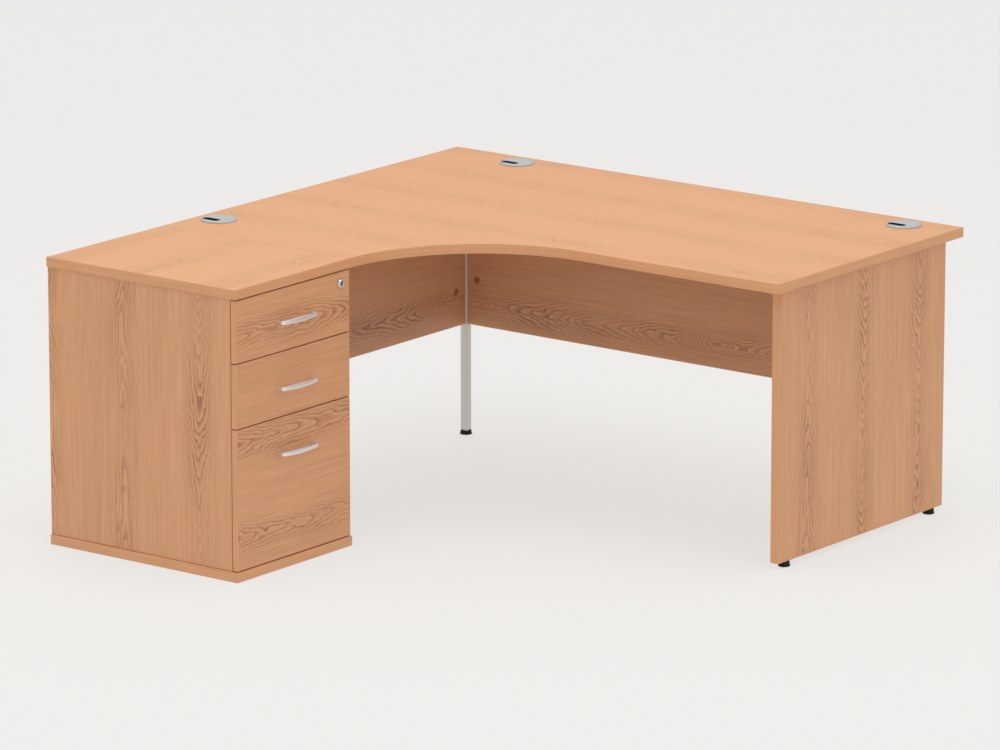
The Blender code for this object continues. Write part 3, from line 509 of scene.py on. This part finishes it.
# %% Boards
BOARDS = {  # axis across it, its grain, where across an arched strip shows, its leaf, and where along
    "desk_top": ("z", "x", 0.560, 7, 0.30),
    "pedestal_top": ("z", "y", -0.270, 13, 1.10),
    "pedestal_base": ("z", "y", -0.300, 17, 4.20),
    "pedestal_side_outer": ("y", "z", -0.561, 21, 2.00),
    "pedestal_side_inner": ("y", "z", -0.500, 26, 0.70),
    "pedestal_back": ("x", "z", -0.640, 33, 1.60),
    "drawer_front_top": ("x", "y", 0.606, 41, 3.10),
    "drawer_front_middle": ("x", "y", 0.345, 46, 1.90),
    "drawer_front_filing": ("x", "y", 0.345, 53, 0.95),
    "right_panel_end": ("x", "z", 0.193, 57, 2.60),
    "return_panel_end": ("y", "z", -0.600, 65, 0.40),
    "modesty_panel_main": ("y", "x", 0.358, 70, 1.30),
    "modesty_panel_return": ("x", "y", 0.370, 78, 2.20),
}
KNOTS = (  # panel, place across and along its grain, radius, stretch, rings it adds, how dark its heart is
    ("modesty_panel_main", 0.422, -0.620, 0.034, 1.0, -1.6, 1.0),
    ("modesty_panel_main", 0.358, -0.625, 0.065, 1.7, -6.5, 0.0),
    ("modesty_panel_main", 0.364, 0.134, 0.060, 1.9, -6.5, 0.0),
    ("modesty_panel_return", 0.394, 0.629, 0.032, 1.0, -1.6, 1.0),
    ("modesty_panel_return", 0.378, 0.556, 0.060, 1.7, -6.0, 0.0),
)


def sheet_place(node):
    """What is added to a board's own coordinates to give its place on the printed sheet."""
    _, _, strip, leaf, along = BOARDS[node]
    return (leaf + 0.5) * LEAF_WIDTH - SWAY / 2 - strip, along


knots = []
for panel, across, along, *shape in KNOTS:
    moved = sheet_place(panel)
    knots.append((across + moved[0], along + moved[1], *shape))
print("knots on the sheet:", np.round(knots, 3).tolist())

# %% The laminates and their edging
worktop_laminate = laminate("melamine_laminate_worktop", "#E5A876", "#B27848", 0.70, 0.45)
board_laminate = laminate("melamine_laminate_board", "#EDB183", "#935E38", 0.95, 0.66)
# The modesty panels' laminate is a darker copy of the board laminate, as painted shade for the shadow under
# the worktop; its knots are the print's own.
shaded_modesty_laminate = laminate("melamine_laminate_modesty_painted_shade", "#DCAA80", "#87573A", 1.10, 0.66, knots)
worktop_edging = edging("abs_edging_worktop", "#DCA174", "#CF9467")
board_edging = edging("abs_edging_board", "#DCA276", "#CE9367")
chipboard = raw_chipboard("cut_chipboard")

# %% [markdown]
# ## The crescent worktop
# The worktop is 25 mm board. Its two wings are joined by a sweep, a quarter circle of 400 mm radius that
# starts where the pedestal ends, and its free front corner is rounded a little. Three holes for cables go
# through it, under the grommets. The outline is written anticlockwise, so that the rim faces outwards, and
# the holes clockwise.

# %% Outlines
SWEEP = 0.400
SWEEP_STEPS = 49
FREE_CORNER = 12 * MM
CORNER_STEPS = 9
CABLE_HOLE = 40 * MM
HOLE_STEPS = 49
GROMMETS = ("return", "corner", "right")


def quarter(centre, radius, start, end, steps):
    """Points on a circle from one angle to another, in degrees: centre + radius (cos, sin)."""
    angle = np.radians(np.linspace(start, end, steps))
    return np.asarray(centre) + radius * np.stack([np.cos(angle), np.sin(angle)], axis=1)


def middle_of(node):
    """The middle of a CAD node's box."""
    low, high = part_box(node)
    return (low + high) / 2


def crescent():
    """The worktop's outline, with the sweep as a quarter circle that is seen from outside."""
    low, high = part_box("desk_top")
    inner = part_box("pedestal_top")[1].x
    front = low.y + SWEEP
    free = (high.x - FREE_CORNER, front + FREE_CORNER)
    parts = [
        [(low.x, low.y)],
        quarter((inner + SWEEP, low.y), SWEEP, 180, 90, SWEEP_STEPS),
        quarter(free, FREE_CORNER, -90, 0, CORNER_STEPS),
        [(high.x, high.y), (low.x, high.y)],
    ]
    return np.concatenate(parts)


def rectangle(node, axis):
    """A board's outline from its box, anticlockwise about the axis."""
    low, high = (np.roll(np.array(corner), -AXES.index(axis) - 1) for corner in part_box(node))
    return np.array([(low[0], low[1]), (high[0], low[1]), (high[0], high[1]), (low[0], high[1])])


def round_hole(node, axis, radius):
    """A hole's outline about a CAD node's middle, clockwise."""
    centre = np.roll(np.array(middle_of(node)), -AXES.index(axis) - 1)[:2]
    return quarter(centre, radius, 360, 0, HOLE_STEPS)[:-1]


# %% [markdown]
# ## All the boards
# The other boards are rectangles, whose outlines come from their boxes in the frame. The top drawer's front
# has one hole, for the lock. A front rides on its own drawer, and the rest on the desk.

# %% Make the boards
LOCK_HOLE = 8.3 * MM
board_holes = {"desk_top": [round_hole(f"grommet_liner_{key}", "z", CABLE_HOLE) for key in GROMMETS]}
board_holes["drawer_front_top"] = [round_hole("lock_barrel", "x", LOCK_HOLE)]
for node, (axis, grain, *_) in BOARDS.items():
    outline = crescent() if node == "desk_top" else rectangle(node, axis)
    low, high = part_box(node)
    levels = (getattr(low, axis), getattr(high, axis))
    holes = board_holes.get(node, ())
    mesh = board_mesh(f"{node}_board", outline, levels, axis, grain, sheet_place(node), holes)
    worktop = node in ("desk_top", "pedestal_top")
    # The modesty panels take the darker laminate, which is painted shade.
    faces = shaded_modesty_laminate if "modesty" in node else board_laminate
    finishes = (worktop_laminate, worktop_edging) if worktop else (faces, board_edging)
    for finish in (*finishes, chipboard):
        mesh.materials.append(finish)
    body = node.replace("drawer_front", "drawer") if "drawer" in node else "desk"
    slot = "beech_top" if worktop else "beech_board"
    show(f"{node}_board", mesh, None, body, slot, node)

# %% [markdown]
# ## Plastic and metal finishes
# The grommets are injection moulded, silver grey, with a fine, even sparkle and a soft gloss, and the faces
# inside their holes are black plastic as painted shade for the shadow in the holes. The feet are black
# polypropylene with the fine spark-eroded texture of their mould. The leg is steel tube under silver
# polyester powder coat, whose skin has a slight orange peel about 1 mm across. The trays have a grey epoxy
# coat, with the same skin. Zinc plate is bright, with a faint cloudy spangle. Satin nickel blurs what it
# mirrors along its brushing, the lock's barrel is a darker nickel as painted shade for the recess round it,
# and chrome is nearly a mirror.


# %% Moulded and coated finishes
def speckled(name, pale, dark, grain_mm, sockets, relief, distance_mm):
    """An even finish: noise of one grain size moves the colour between two near tones and the surface."""
    made, tree, shader = new_finish(name, sockets)
    repeats = 1 / (grain_mm * MM)
    place = in_metres(tree, (repeats, repeats, repeats))
    noise = add(tree, "ShaderNodeTexNoise", {"Vector": place, "Scale": 1.0, "Detail": 3.0}).outputs["Fac"]
    tree.links.new(between(tree, noise, pale, dark), shader.inputs["Base Color"])
    sockets = {"Height": noise, "Strength": relief, "Distance": distance_mm * MM}
    bump = add(tree, "ShaderNodeBump", sockets)
    tree.links.new(bump.outputs["Normal"], shader.inputs["Normal"])
    return made


def brushed(name, pale, dark, scale, sockets, relief):
    """A metal finish whose scratches run one way: noise stretched by its repeats per metre on each axis."""
    made, tree, shader = new_finish(name, {**sockets, "Metallic": 1.0})
    noise = add(tree, "ShaderNodeTexNoise", {"Vector": in_metres(tree, scale), "Scale": 1.0, "Detail": 3.0})
    tree.links.new(between(tree, noise.outputs["Fac"], pale, dark), shader.inputs["Base Color"])
    sockets = {"Height": noise.outputs["Fac"], "Strength": relief, "Distance": 0.02 * MM}
    bump = add(tree, "ShaderNodeBump", sockets)
    tree.links.new(bump.outputs["Normal"], shader.inputs["Normal"])
    return made


PAINTED_ABS = {"Roughness": 0.38, "IOR": 1.5, "Metallic": 0.25}
HOLE_SHADE_ABS = {"Roughness": 0.45, "IOR": 1.54}
POLYPROPYLENE = {"Roughness": 0.6, "IOR": 1.49, "Specular IOR Level": 0.3}
POWDER_COAT = {"Roughness": 0.45, "IOR": 1.5, "Metallic": 0.15}
EPOXY_COAT = {"Roughness": 0.5, "IOR": 1.5}
ZINC_PLATE = {"Roughness": 0.34, "Metallic": 1.0}
grommet_plastic = speckled("silver_painted_abs", "#BCBEC0", "#A9ACAE", 0.8, PAINTED_ABS, 0.15, 0.02)
# Black plastic for the faces inside the grommets' holes, as painted shade for the shadow in the holes.
hole_shade_plastic = speckled("black_abs_painted_hole_shade", "#242527", "#17181A", 0.8, HOLE_SHADE_ABS, 0.15, 0.02)
foot_plastic = speckled("black_polypropylene", "#121314", "#0A0B0C", 0.6, POLYPROPYLENE, 0.4, 0.03)
leg_paint = speckled("silver_powder_coat", "#D6D8D4", "#C6C8C4", 1.0, POWDER_COAT, 0.25, 0.03)
tray_paint = speckled("grey_epoxy_coat", "#8E9194", "#7F8285", 1.2, EPOXY_COAT, 0.3, 0.03)
zinc = speckled("zinc_plated_steel", "#C4C8CB", "#A9ADB1", 3.0, ZINC_PLATE, 0.1, 0.02)

# Scratches per metre on each axis: along Y on the handles, and even on the lock's two pieces.
ALONG_Y = (2500.0, 60.0, 2500.0)
FINE_EVEN = (900.0, 900.0, 900.0)
EVEN = (400.0, 400.0, 400.0)
satin_nickel = brushed("satin_nickel_plate", "#F1F3F6", "#E0E3E7", ALONG_Y, {"Roughness": 0.42}, 0.15)
# The barrel's nickel is darker than the rim, as painted shade for the recess between barrel and rim.
barrel_shade_nickel = brushed("nickel_barrel_painted_shade", "#A9A7A4", "#94928F", FINE_EVEN, {"Roughness": 0.35}, 0.1)
chrome = brushed("chrome_plate", "#DEDFE1", "#D2D4D6", EVEN, {"Roughness": 0.10}, 0.02)

# %% [markdown]
# ## Cable grommets
# A grommet is two mouldings. The liner is a sleeve through the board with a rounded flange on top. The lid
# drops into it, and turns, so that its slot faces the cables. The liner is turned on a lathe of arrays. The
# lid isn't round all over: its rows start on the slot's outline, climb over a raised lip round the slot,
# run out to the round rim, and come back underneath to close the solid.

# %% Grommet sizes
FLANGE = 46.5 * MM
SLEEVE = 39.5 * MM
SLEEVE_WALL = 2.0 * MM
LID = 41.5 * MM
LID_SEAT = 42.0 * MM
LID_WALL = 1.8 * MM
SLOT_HALF = 26.0 * MM
SLOT_END = 10.5 * MM
SLOT_OFFSET = (-10.0 * MM, -17.0 * MM)
SLOT_LIP = 0.3 * MM
BOARD_GAP = 0.3 * MM  # from the board to the flange's underside
SKIRT = 37.0 * MM
SKIRT_WALL = 1.5 * MM
SLOT_EDGE = (  # how far out from the slot's wall, and how far above the lid's face
    (0.0, -LID_WALL),
    (0.0, 0.0),
    (0.15 * MM, 0.7 * SLOT_LIP),
    (0.6 * MM, SLOT_LIP),
    (1.2 * MM, 0.7 * SLOT_LIP),
    (1.8 * MM, 0.0),
)
LID_EDGE = (  # radius, and how far above the lid's face
    (LID - 0.8 * MM, -0.1 * MM),
    (LID - 0.2 * MM, -0.5 * MM),
    (LID, -1.0 * MM),
    (LID, -LID_WALL),
    (SKIRT, -LID_WALL),
)
LINER_ROUNDING = np.array([0.3, 1.6, 0.3, 0.3, 0.5, 0.5, 0.3, 0.2]) * MM


def slot_outline(half, end, steps=96):
    """A slot with round ends: each point of a circle of the end's radius, moved out by half - end."""
    angle = np.linspace(0.0, 2 * np.pi, steps, endpoint=False) + np.pi / steps
    x = end * np.cos(angle) + np.sign(np.cos(angle)) * (half - end)
    return np.stack([x, end * np.sin(angle)], axis=1)


def circle(radius, steps=96):
    """Points at radius (cos a, sin a), starting half a step round."""
    angle = np.linspace(0.0, 2 * np.pi, steps, endpoint=False) + np.pi / steps
    return radius * np.stack([np.cos(angle), np.sin(angle)], axis=1)


def at_level(outline, level):
    """An outline as one row of points at that height."""
    return np.concatenate([outline, np.full((len(outline), 1), level)], axis=1)


# %% Liner and lid
def paint_hole_shade(mesh, centre, radius, level):
    """Painted shade for the hole: faces within the radius and below the level get black plastic."""
    places = np.empty(3 * len(mesh.polygons))
    mesh.polygons.foreach_get("center", places)
    places = places.reshape(-1, 3) - (centre.x, centre.y, level)
    in_hole_shade = (np.hypot(places[:, 0], places[:, 1]) < radius) & (places[:, 2] < 0)
    mesh.polygons.foreach_set("material_index", in_hole_shade.astype(np.int32))
    mesh.materials.append(grommet_plastic)
    mesh.materials.append(hole_shade_plastic)


def make_liner(key):
    """The liner's closed profile, from the seat's edge out over the flange and down the sleeve, is turned."""
    node = f"grommet_liner_{key}"
    low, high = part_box(node)
    centre = middle_of(node)
    flange_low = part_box("desk_top")[1].z + BOARD_GAP
    seat = high.z - LID_WALL
    bore = SLEEVE - SLEEVE_WALL
    profile = [(LID_SEAT, high.z), (FLANGE, high.z - 0.2 * MM), (FLANGE, flange_low), (SLEEVE, flange_low)]
    profile += [(SLEEVE, low.z), (bore, low.z), (bore, seat), (LID_SEAT, seat)]
    ring = lathe(soften(profile, LINER_ROUNDING), (centre.x, centre.y, 0.0), steps=96)
    mesh = skin(node, [ring], loop_rows=True)
    # The liner's faces inside the hole get black plastic as painted shade.
    paint_hole_shade(mesh, centre, LID_SEAT + 0.1 * MM, high.z - 0.3 * MM)
    show(f"{node}_moulding", mesh, None, "desk", "grey_plastic", node)


def slot_row(grow, level):
    """The slot's outline, moved out by grow, at that height."""
    return at_level(slot_outline(SLOT_HALF + grow, SLOT_END + grow) + SLOT_OFFSET, level)


def make_lid(key):
    """Rows from the slot to the rim, (1 - share) times a slot plus share times a circle, and back below."""
    node = f"grommet_lid_{key}"
    low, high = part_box(node)
    centre = middle_of(f"grommet_liner_{key}")
    rows = [slot_row(grow, high.z + rise) for grow, rise in SLOT_EDGE]
    inner, outer = slot_row(2.0 * MM, high.z), at_level(circle(LID - 2.0 * MM), high.z)
    rows += [(1 - share) * inner + share * outer for share in np.linspace(0.0, 1.0, 5)]
    rows += [at_level(circle(radius), high.z + rise) for radius, rise in LID_EDGE]
    rows += [at_level(circle(SKIRT), low.z), at_level(circle(SKIRT - SKIRT_WALL), low.z)]
    rows += [at_level(circle(SKIRT - SKIRT_WALL), high.z - LID_WALL)]
    mesh = skin(node, [np.stack(rows) + (centre.x, centre.y, 0.0)], loop_rows=True)
    # The lid's faces inside the hole and slot get black plastic as painted shade.
    paint_hole_shade(mesh, centre, LID + 1.0 * MM, high.z - 0.6 * MM)
    show(f"{node}_moulding", mesh, None, f"lid_{key}", "grey_plastic", node)


for key in GROMMETS:
    make_liner(key)
    make_lid(key)

# %% [markdown]
# ## Bow handles
# Each handle is one zinc casting under satin nickel. Two feet stand off the drawer front, and a flat bow
# joins them, which arches 5.5 mm further out in the middle. Its face is like a lens: tallest in the middle
# and rounded at the tips. It is a section carried along a path. The section is a superellipse, between an
# ellipse and a rounded rectangle, and its height and thickness change along the path.

# %% Handle sizes
HANDLE_STANDOFF = 24.0 * MM
HANDLE_ARCH = 5.5 * MM
STRIP_THICKNESS = 4.2 * MM
FOOT_THICKNESS = 6.0 * MM
MIDDLE_HEIGHT = 12.6 * MM
TIP_HEIGHT = 8.6 * MM
BEND = 4.5 * MM
THINS_FROM = 0.55  # share of the stand-off where the foot starts to thin into the strip
THINS_OVER = 0.4
SECTION_POWER = 3.2
HANDLE_SHARP_FROM = 50.0


def superellipse(power, steps=40):
    """Points (|cos a|^(2/n), |sin a|^(2/n)) with the signs of cos a and sin a."""
    angle = np.linspace(0.0, 2 * np.pi, steps, endpoint=False)
    both = np.stack([np.cos(angle), np.sin(angle)], axis=1)
    return np.sign(both) * np.abs(both) ** (2 / power)


def handle_path(half):
    """Points (out, along) of the centre line: foot, tight bend, arched strip, bend and foot."""
    tip = HANDLE_STANDOFF - STRIP_THICKNESS / 2
    foot = np.stack([np.linspace(0.0, tip - BEND, 6), np.full(6, -half)], axis=1)
    side = np.linspace(-half + BEND, half - BEND, 49)
    arch = np.stack([tip + HANDLE_ARCH * (1 - (side / half) ** 2), side], axis=1)
    corner = np.array([arch[0, 0] - 0.8 * MM, -half])
    t = np.linspace(0.0, 1.0, 9)[1:-1, None]
    curve = (1 - t) ** 2 * foot[-1] + 2 * t * (1 - t) * corner + t**2 * arch[0]
    mirror = (1, -1)
    return np.concatenate([foot, curve, arch, curve[::-1] * mirror, foot[::-1] * mirror])


def make_handle(key):
    """The section, scaled by its height and thickness at each point, stands across the path's direction."""
    low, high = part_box(f"handle_{key}")
    half = (high.y - low.y) / 2 - FOOT_THICKNESS / 2
    path = handle_path(half)
    tangent = np.gradient(path, axis=0)
    tangent /= np.linalg.norm(tangent, axis=1, keepdims=True)
    normal = np.stack([tangent[:, 1], -tangent[:, 0]], axis=1)
    strip = np.clip((path[:, 0] / HANDLE_STANDOFF - THINS_FROM) / THINS_OVER, 0, 1)
    arch = 1 - (path[:, 1] / half) ** 2
    height = TIP_HEIGHT + (MIDDLE_HEIGHT - TIP_HEIGHT) * arch
    thickness = FOOT_THICKNESS + (STRIP_THICKNESS - FOOT_THICKNESS) * strip
    section = superellipse(SECTION_POWER)
    flat = path[:, None] + normal[:, None] * (thickness[:, None] / 2 * section[:, 0])[..., None]
    level = height[:, None] / 2 * section[:, 1]
    grid = np.concatenate([flat, level[..., None]], axis=-1)
    ends = [np.broadcast_to(np.append(path[end], 0.0), grid[:1].shape) for end in (0, -1)]
    grid = np.concatenate([ends[0], grid, ends[1]])
    centre = middle_of(f"handle_{key}")
    grid = grid + (low.x, centre.y, centre.z)
    mesh = skin(f"handle_{key}", [grid], sharp=HANDLE_SHARP_FROM)
    show(f"handle_{key}_bow", mesh, satin_nickel, f"drawer_{key}", "satin_nickel", f"handle_{key}")


for key in ("top", "middle", "filing"):
    make_handle(key)

# %% [markdown]
# ## The lock
# The lock in the top drawer is a chromed die-cast housing with a polished, domed rim, and in it the barrel,
# which turns with the key. The housing is a turned ring, whose front is a quarter of an ellipse. The
# barrel's rows start on a point at the bottom of the keyway, follow the keyway's walls up to the face, and
# run out to its round side.

# %% Lock
KEYWAY_HALF = 4.0 * MM
KEYWAY_END = 0.8 * MM
KEYWAY_DEPTH = 4.0 * MM
RIM_LIP = 3.0 * MM  # from the sleeve out to the rim
BORE_GAP = 0.3 * MM
MOUTH_BEVEL = 0.8 * MM
BRIM_HEIGHT = 1.2 * MM  # where the dome starts, in front of the drawer front


def facing_x(grid, centre):
    """Turns a grid made about z so that its height runs along x, and moves it."""
    return np.roll(grid, 1, axis=-1) + np.asarray(centre)


def make_housing():
    """A turned ring, whose dome goes out by (rim - crest) sin a and forwards by (high.x - brim) cos a."""
    low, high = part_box("lock_housing")
    centre = middle_of("lock_housing")
    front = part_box("drawer_front_top")[1].x
    barrel_low, barrel_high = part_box("lock_barrel")
    rim = (high.y - low.y) / 2
    bore = (barrel_high.y - barrel_low.y) / 2 + BORE_GAP
    sleeve = rim - RIM_LIP
    turn = np.linspace(0.0, np.pi / 2, 10)
    crest, brim = bore + MOUTH_BEVEL, front + BRIM_HEIGHT
    dome = np.stack([crest + (rim - crest) * np.sin(turn), brim + (high.x - brim) * np.cos(turn)], axis=1)
    back = [(rim, front + 0.1 * MM), (sleeve, front + 0.1 * MM), (sleeve, low.x), (bore, low.x)]
    profile = np.concatenate([dome, back, [(bore, high.x - MOUTH_BEVEL)]])
    ring = lathe(profile, (0.0, centre.y, centre.z), "x", 72)
    mesh = skin("lock_rim", [ring], loop_rows=True)
    show("lock_housing_rim", mesh, chrome, "drawer_top", "chrome", "lock_housing")


def make_barrel():
    """Rows go from a point to the keyway and on to a circle, whose points are put in the keyway's order."""
    low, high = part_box("lock_barrel")
    centre = middle_of("lock_housing")
    keyway = slot_outline(KEYWAY_HALF, KEYWAY_END)[:, ::-1] * (-1, 1)
    bottom = high.x - KEYWAY_DEPTH
    rows = [at_level(0.0 * keyway, bottom), at_level(keyway, bottom), at_level(keyway, high.x - 0.2 * MM)]
    rows += [at_level(1.04 * keyway, high.x - 0.05 * MM), at_level(1.1 * keyway, high.x)]
    face = circle((high.y - low.y) / 2)
    start = np.arctan2(keyway[:, 1], keyway[:, 0])
    face = face[np.argsort(np.argsort(start % (2 * np.pi)))]
    rows += [at_level(0.5 * face + 0.5 * keyway, high.x), at_level(0.92 * face, high.x)]
    rows += [at_level(face, high.x - 0.4 * MM), at_level(face, low.x), at_level(0.0 * face, low.x)]
    mesh = skin("lock_core", [facing_x(np.stack(rows), (0.0, centre.y, centre.z))])
    # The barrel's darker nickel is painted shade for the recess round it.
    show("lock_barrel_core", mesh, barrel_shade_nickel, "lock", "satin_nickel", "lock_barrel")


make_housing()
make_barrel()

# %% [markdown]
# ## The corner leg
# The inner corner of the worktop stands on a square steel tube with rounded edges, powder coated in silver.
# It is open at its lower end, where the foot's nut is pressed in, so the surface goes up outside and comes
# down inside. A steel plate on its top end carries the worktop's screws.

# %% Leg and top plate
TUBE_WALL = 1.5 * MM
TUBE_CORNER = 2.5 * MM
PLATE_CORNER = 5.0 * MM


def rounded_rectangle(low, high, radius, steps=7):
    """Four straight sides with quarter circles between them, anticlockwise."""
    (left, near), (right, far) = low, high
    parts = [
        quarter((right - radius, near + radius), radius, -90, 0, steps),
        quarter((right - radius, far - radius), radius, 0, 90, steps),
        quarter((left + radius, far - radius), radius, 90, 180, steps),
        quarter((left + radius, near + radius), radius, 180, 270, steps),
    ]
    return np.concatenate(parts)


def solid_plate(outline, low, high, rounding):
    """A closed plate: centre, face, rounded edge, edge, and the same above."""
    middle = outline.mean(axis=0)
    shrunk = outline + rounding * mitres(outline)
    soft = outline + 0.3 * rounding * mitres(outline)
    pole = np.broadcast_to(middle, outline.shape)
    rows = [(pole, low), (shrunk, low), (soft, low + 0.3 * rounding), (outline, low + rounding)]
    rows += [(outline, high - rounding), (soft, high - 0.3 * rounding), (shrunk, high), (pole, high)]
    return np.stack([at_level(*row) for row in rows])


def make_leg():
    """A tube from four rows, inside and outside at both ends, and the plate above it."""
    low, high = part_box("corner_leg")
    outer = rounded_rectangle(low.xy, high.xy, TUBE_CORNER)
    wall = np.array((TUBE_WALL, TUBE_WALL))
    inner = rounded_rectangle(np.array(low.xy) + wall, np.array(high.xy) - wall, TUBE_CORNER - TUBE_WALL)
    rows = [at_level(inner, low.z), at_level(outer, low.z), at_level(outer, high.z), at_level(inner, high.z)]
    mesh = skin("corner_leg_tube", [np.stack(rows)], loop_rows=True)
    show("corner_leg_tube", mesh, leg_paint, "desk", "silver_paint", "corner_leg")
    low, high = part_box("leg_top_plate")
    outline = rounded_rectangle(low.xy, high.xy, PLATE_CORNER)
    mesh = skin("leg_plate", [solid_plate(outline, low.z, high.z, 0.4 * MM)])
    show("leg_top_plate_steel", mesh, leg_paint, "desk", "silver_paint", "leg_top_plate")


make_leg()

# %% [markdown]
# ## Levelling feet
# Each foot is a black plastic glide on a threaded stem, screwed into the panel's or the leg's end. It has a
# wide sole with a rounded edge, a slight waist, and a fluted collar for turning it by hand. The flutes are
# a cosine of the angle, taken off the collar's radius, so one formula makes the round and the fluted rows.

# %% Feet
FLUTES = 12
FLUTE_DEPTH = 0.5 * MM
STEM = 3.8 * MM
PANEL_GAP = 0.3 * MM
FOOT_SHARP_FROM = 40.0
FOOT_ROWS = (  # share of the sole's radius, share of the height, and 1 where it is fluted
    (0.0, 0.0, 0),
    (0.86, 0.0, 0),
    (0.96, 0.04, 0),
    (1.0, 0.12, 0),
    (1.0, 0.30, 0),
    (0.98, 0.36, 0),
    (0.92, 0.40, 0),
    (0.89, 0.45, 0),
    (0.92, 0.50, 1),
    (0.92, 0.94, 1),
    (0.87, 1.0, 1),
)


def make_foot(node):
    """Each row is a circle of its share of the sole, less fluted times FLUTE_DEPTH (1 - cos 12 a) / 2."""
    low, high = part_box(node)
    centre = middle_of(node)
    sole = (high.x - low.x) / 2
    above = "corner_leg" if node == "leg_foot" else node.split("_foot")[0] + "_panel_end"
    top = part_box(above)[0].z - PANEL_GAP
    radius, level, fluted = np.array(FOOT_ROWS).T
    angle = np.linspace(0.0, 2 * np.pi, 96, endpoint=False)
    reach = radius[:, None] * sole - fluted[:, None] * FLUTE_DEPTH * (1 - np.cos(FLUTES * angle)) / 2
    rows = [np.stack([reach * np.cos(angle), reach * np.sin(angle)], axis=-1)]
    rows += [np.stack([circle(STEM), circle(STEM), circle(0.0)])]
    height = np.concatenate([level * top, [top, high.z, high.z]])
    flat = np.concatenate(rows)
    grid = np.concatenate([flat, np.broadcast_to(height[:, None, None], (*flat.shape[:2], 1))], axis=-1)
    mesh = skin(f"{node}_glide", [grid + (centre.x, centre.y, 0.0)], sharp=FOOT_SHARP_FROM)
    show(f"{node}_glide", mesh, foot_plastic, node, "black_plastic", node)


for node in ("right_foot_front", "right_foot_back", "return_foot_front", "return_foot_back", "leg_foot"):
    make_foot(node)

# %% [markdown]
# ## Fittings that keep their CAD shape
# The drawer trays, their runners, the brackets and the link bolts are folded or turned steel, and their CAD
# solids already have the right shape. They only get the finish that the real ones have: grey epoxy coat on
# the trays, black plastic on the two link spacers, and bright zinc on the rest.

# %% Finish the carried-over nodes
CARRIED = (("drawer_tray", tray_paint), ("runner", zinc), ("bracket", zinc), ("link_bolt", zinc))
CARRIED += (("link_spacer", foot_plastic), ("lock_cam", zinc), ("lock_strike", zinc))
for start, finish in CARRIED:
    named = [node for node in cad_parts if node.startswith(start)]
    for node in named:
        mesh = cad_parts[node].data
        mesh.materials.clear()
        mesh.materials.append(finish)
    print(f"{start}: {len(named)} nodes in {finish.name}")

# %% [markdown]
# ## Floor, light and camera
# The setting is a light tent: a pale floor and an even, white surround, which light the upright boards from
# all sides, and a broad soft lamp overhead that makes the worktops brighter. The floor glows a little by
# itself, like a light table, so that the shadow under the desk stays pale. It is a flat disc of rings whose
# radius grows by a constant factor, so its horizon is far away.

# %% The pale floor
FLOOR_RADIUS = 60.0


def make_floor():
    """Points r (cos a, sin a, 0) on rings, round one point in the middle."""
    rings = np.geomspace(0.5, FLOOR_RADIUS, 12)
    rows = [at_level(0.0 * circle(1.0), 0.0), *(at_level(circle(radius), 0.0) for radius in rings)]
    mesh = bpy.data.meshes.new("floor")
    points = np.stack(rows).reshape(-1, 3)
    mesh.from_pydata(points, [], grid_faces(len(rows), 96).tolist())
    merge_doubles(mesh)
    made = bpy.data.objects.new("pale_floor", mesh)
    bpy.context.scene.collection.objects.link(made)
    made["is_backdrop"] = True
    return mesh


paper, _, shader = new_finish("pale_floor_paper", {"Roughness": 0.9, "Specular IOR Level": 0.1})
shader.inputs["Base Color"].default_value = linear("#7C7B7A")
shader.inputs["Emission Color"].default_value = linear("#ECEBE9")
shader.inputs["Emission Strength"].default_value = 0.77
make_floor().materials.append(paper)

# %% Light
scene = bpy.context.scene
scene.view_settings.view_transform = "Standard"
world = bpy.data.worlds.new("light_tent")
scene.world = world
world.use_nodes = True
surround = world.node_tree.nodes["Background"]
surround.inputs["Color"].default_value = linear("#ECEBE9")
surround.inputs["Strength"].default_value = 1.0

lamp = bpy.data.lights.new("overhead_softbox", "AREA")
lamp.shape = "DISK"
lamp.size = 3.5
lamp.energy = 75.0
overhead = bpy.data.objects.new("overhead_softbox", lamp)
scene.collection.objects.link(overhead)
overhead.location = (0.4, -0.6, 5.0)

# %% Camera
camera_data = bpy.data.cameras.new("camera")
camera_data.sensor_width = 36.0
camera_data.lens = 254.147
camera_data.clip_end = 100.0
camera = bpy.data.objects.new("camera", camera_data)
scene.collection.objects.link(camera)
camera.location = (10.355826, -13.543322, 4.581662)
camera.rotation_euler = (1.3297535549, 0.0, 0.6541312666)
scene.camera = camera

# %% [markdown]
# ## Sizes
# The finished pieces must fill the same box as the CAD model, so the box of the shown pieces is measured.

# %% Measure the box of the shown pieces
low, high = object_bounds()
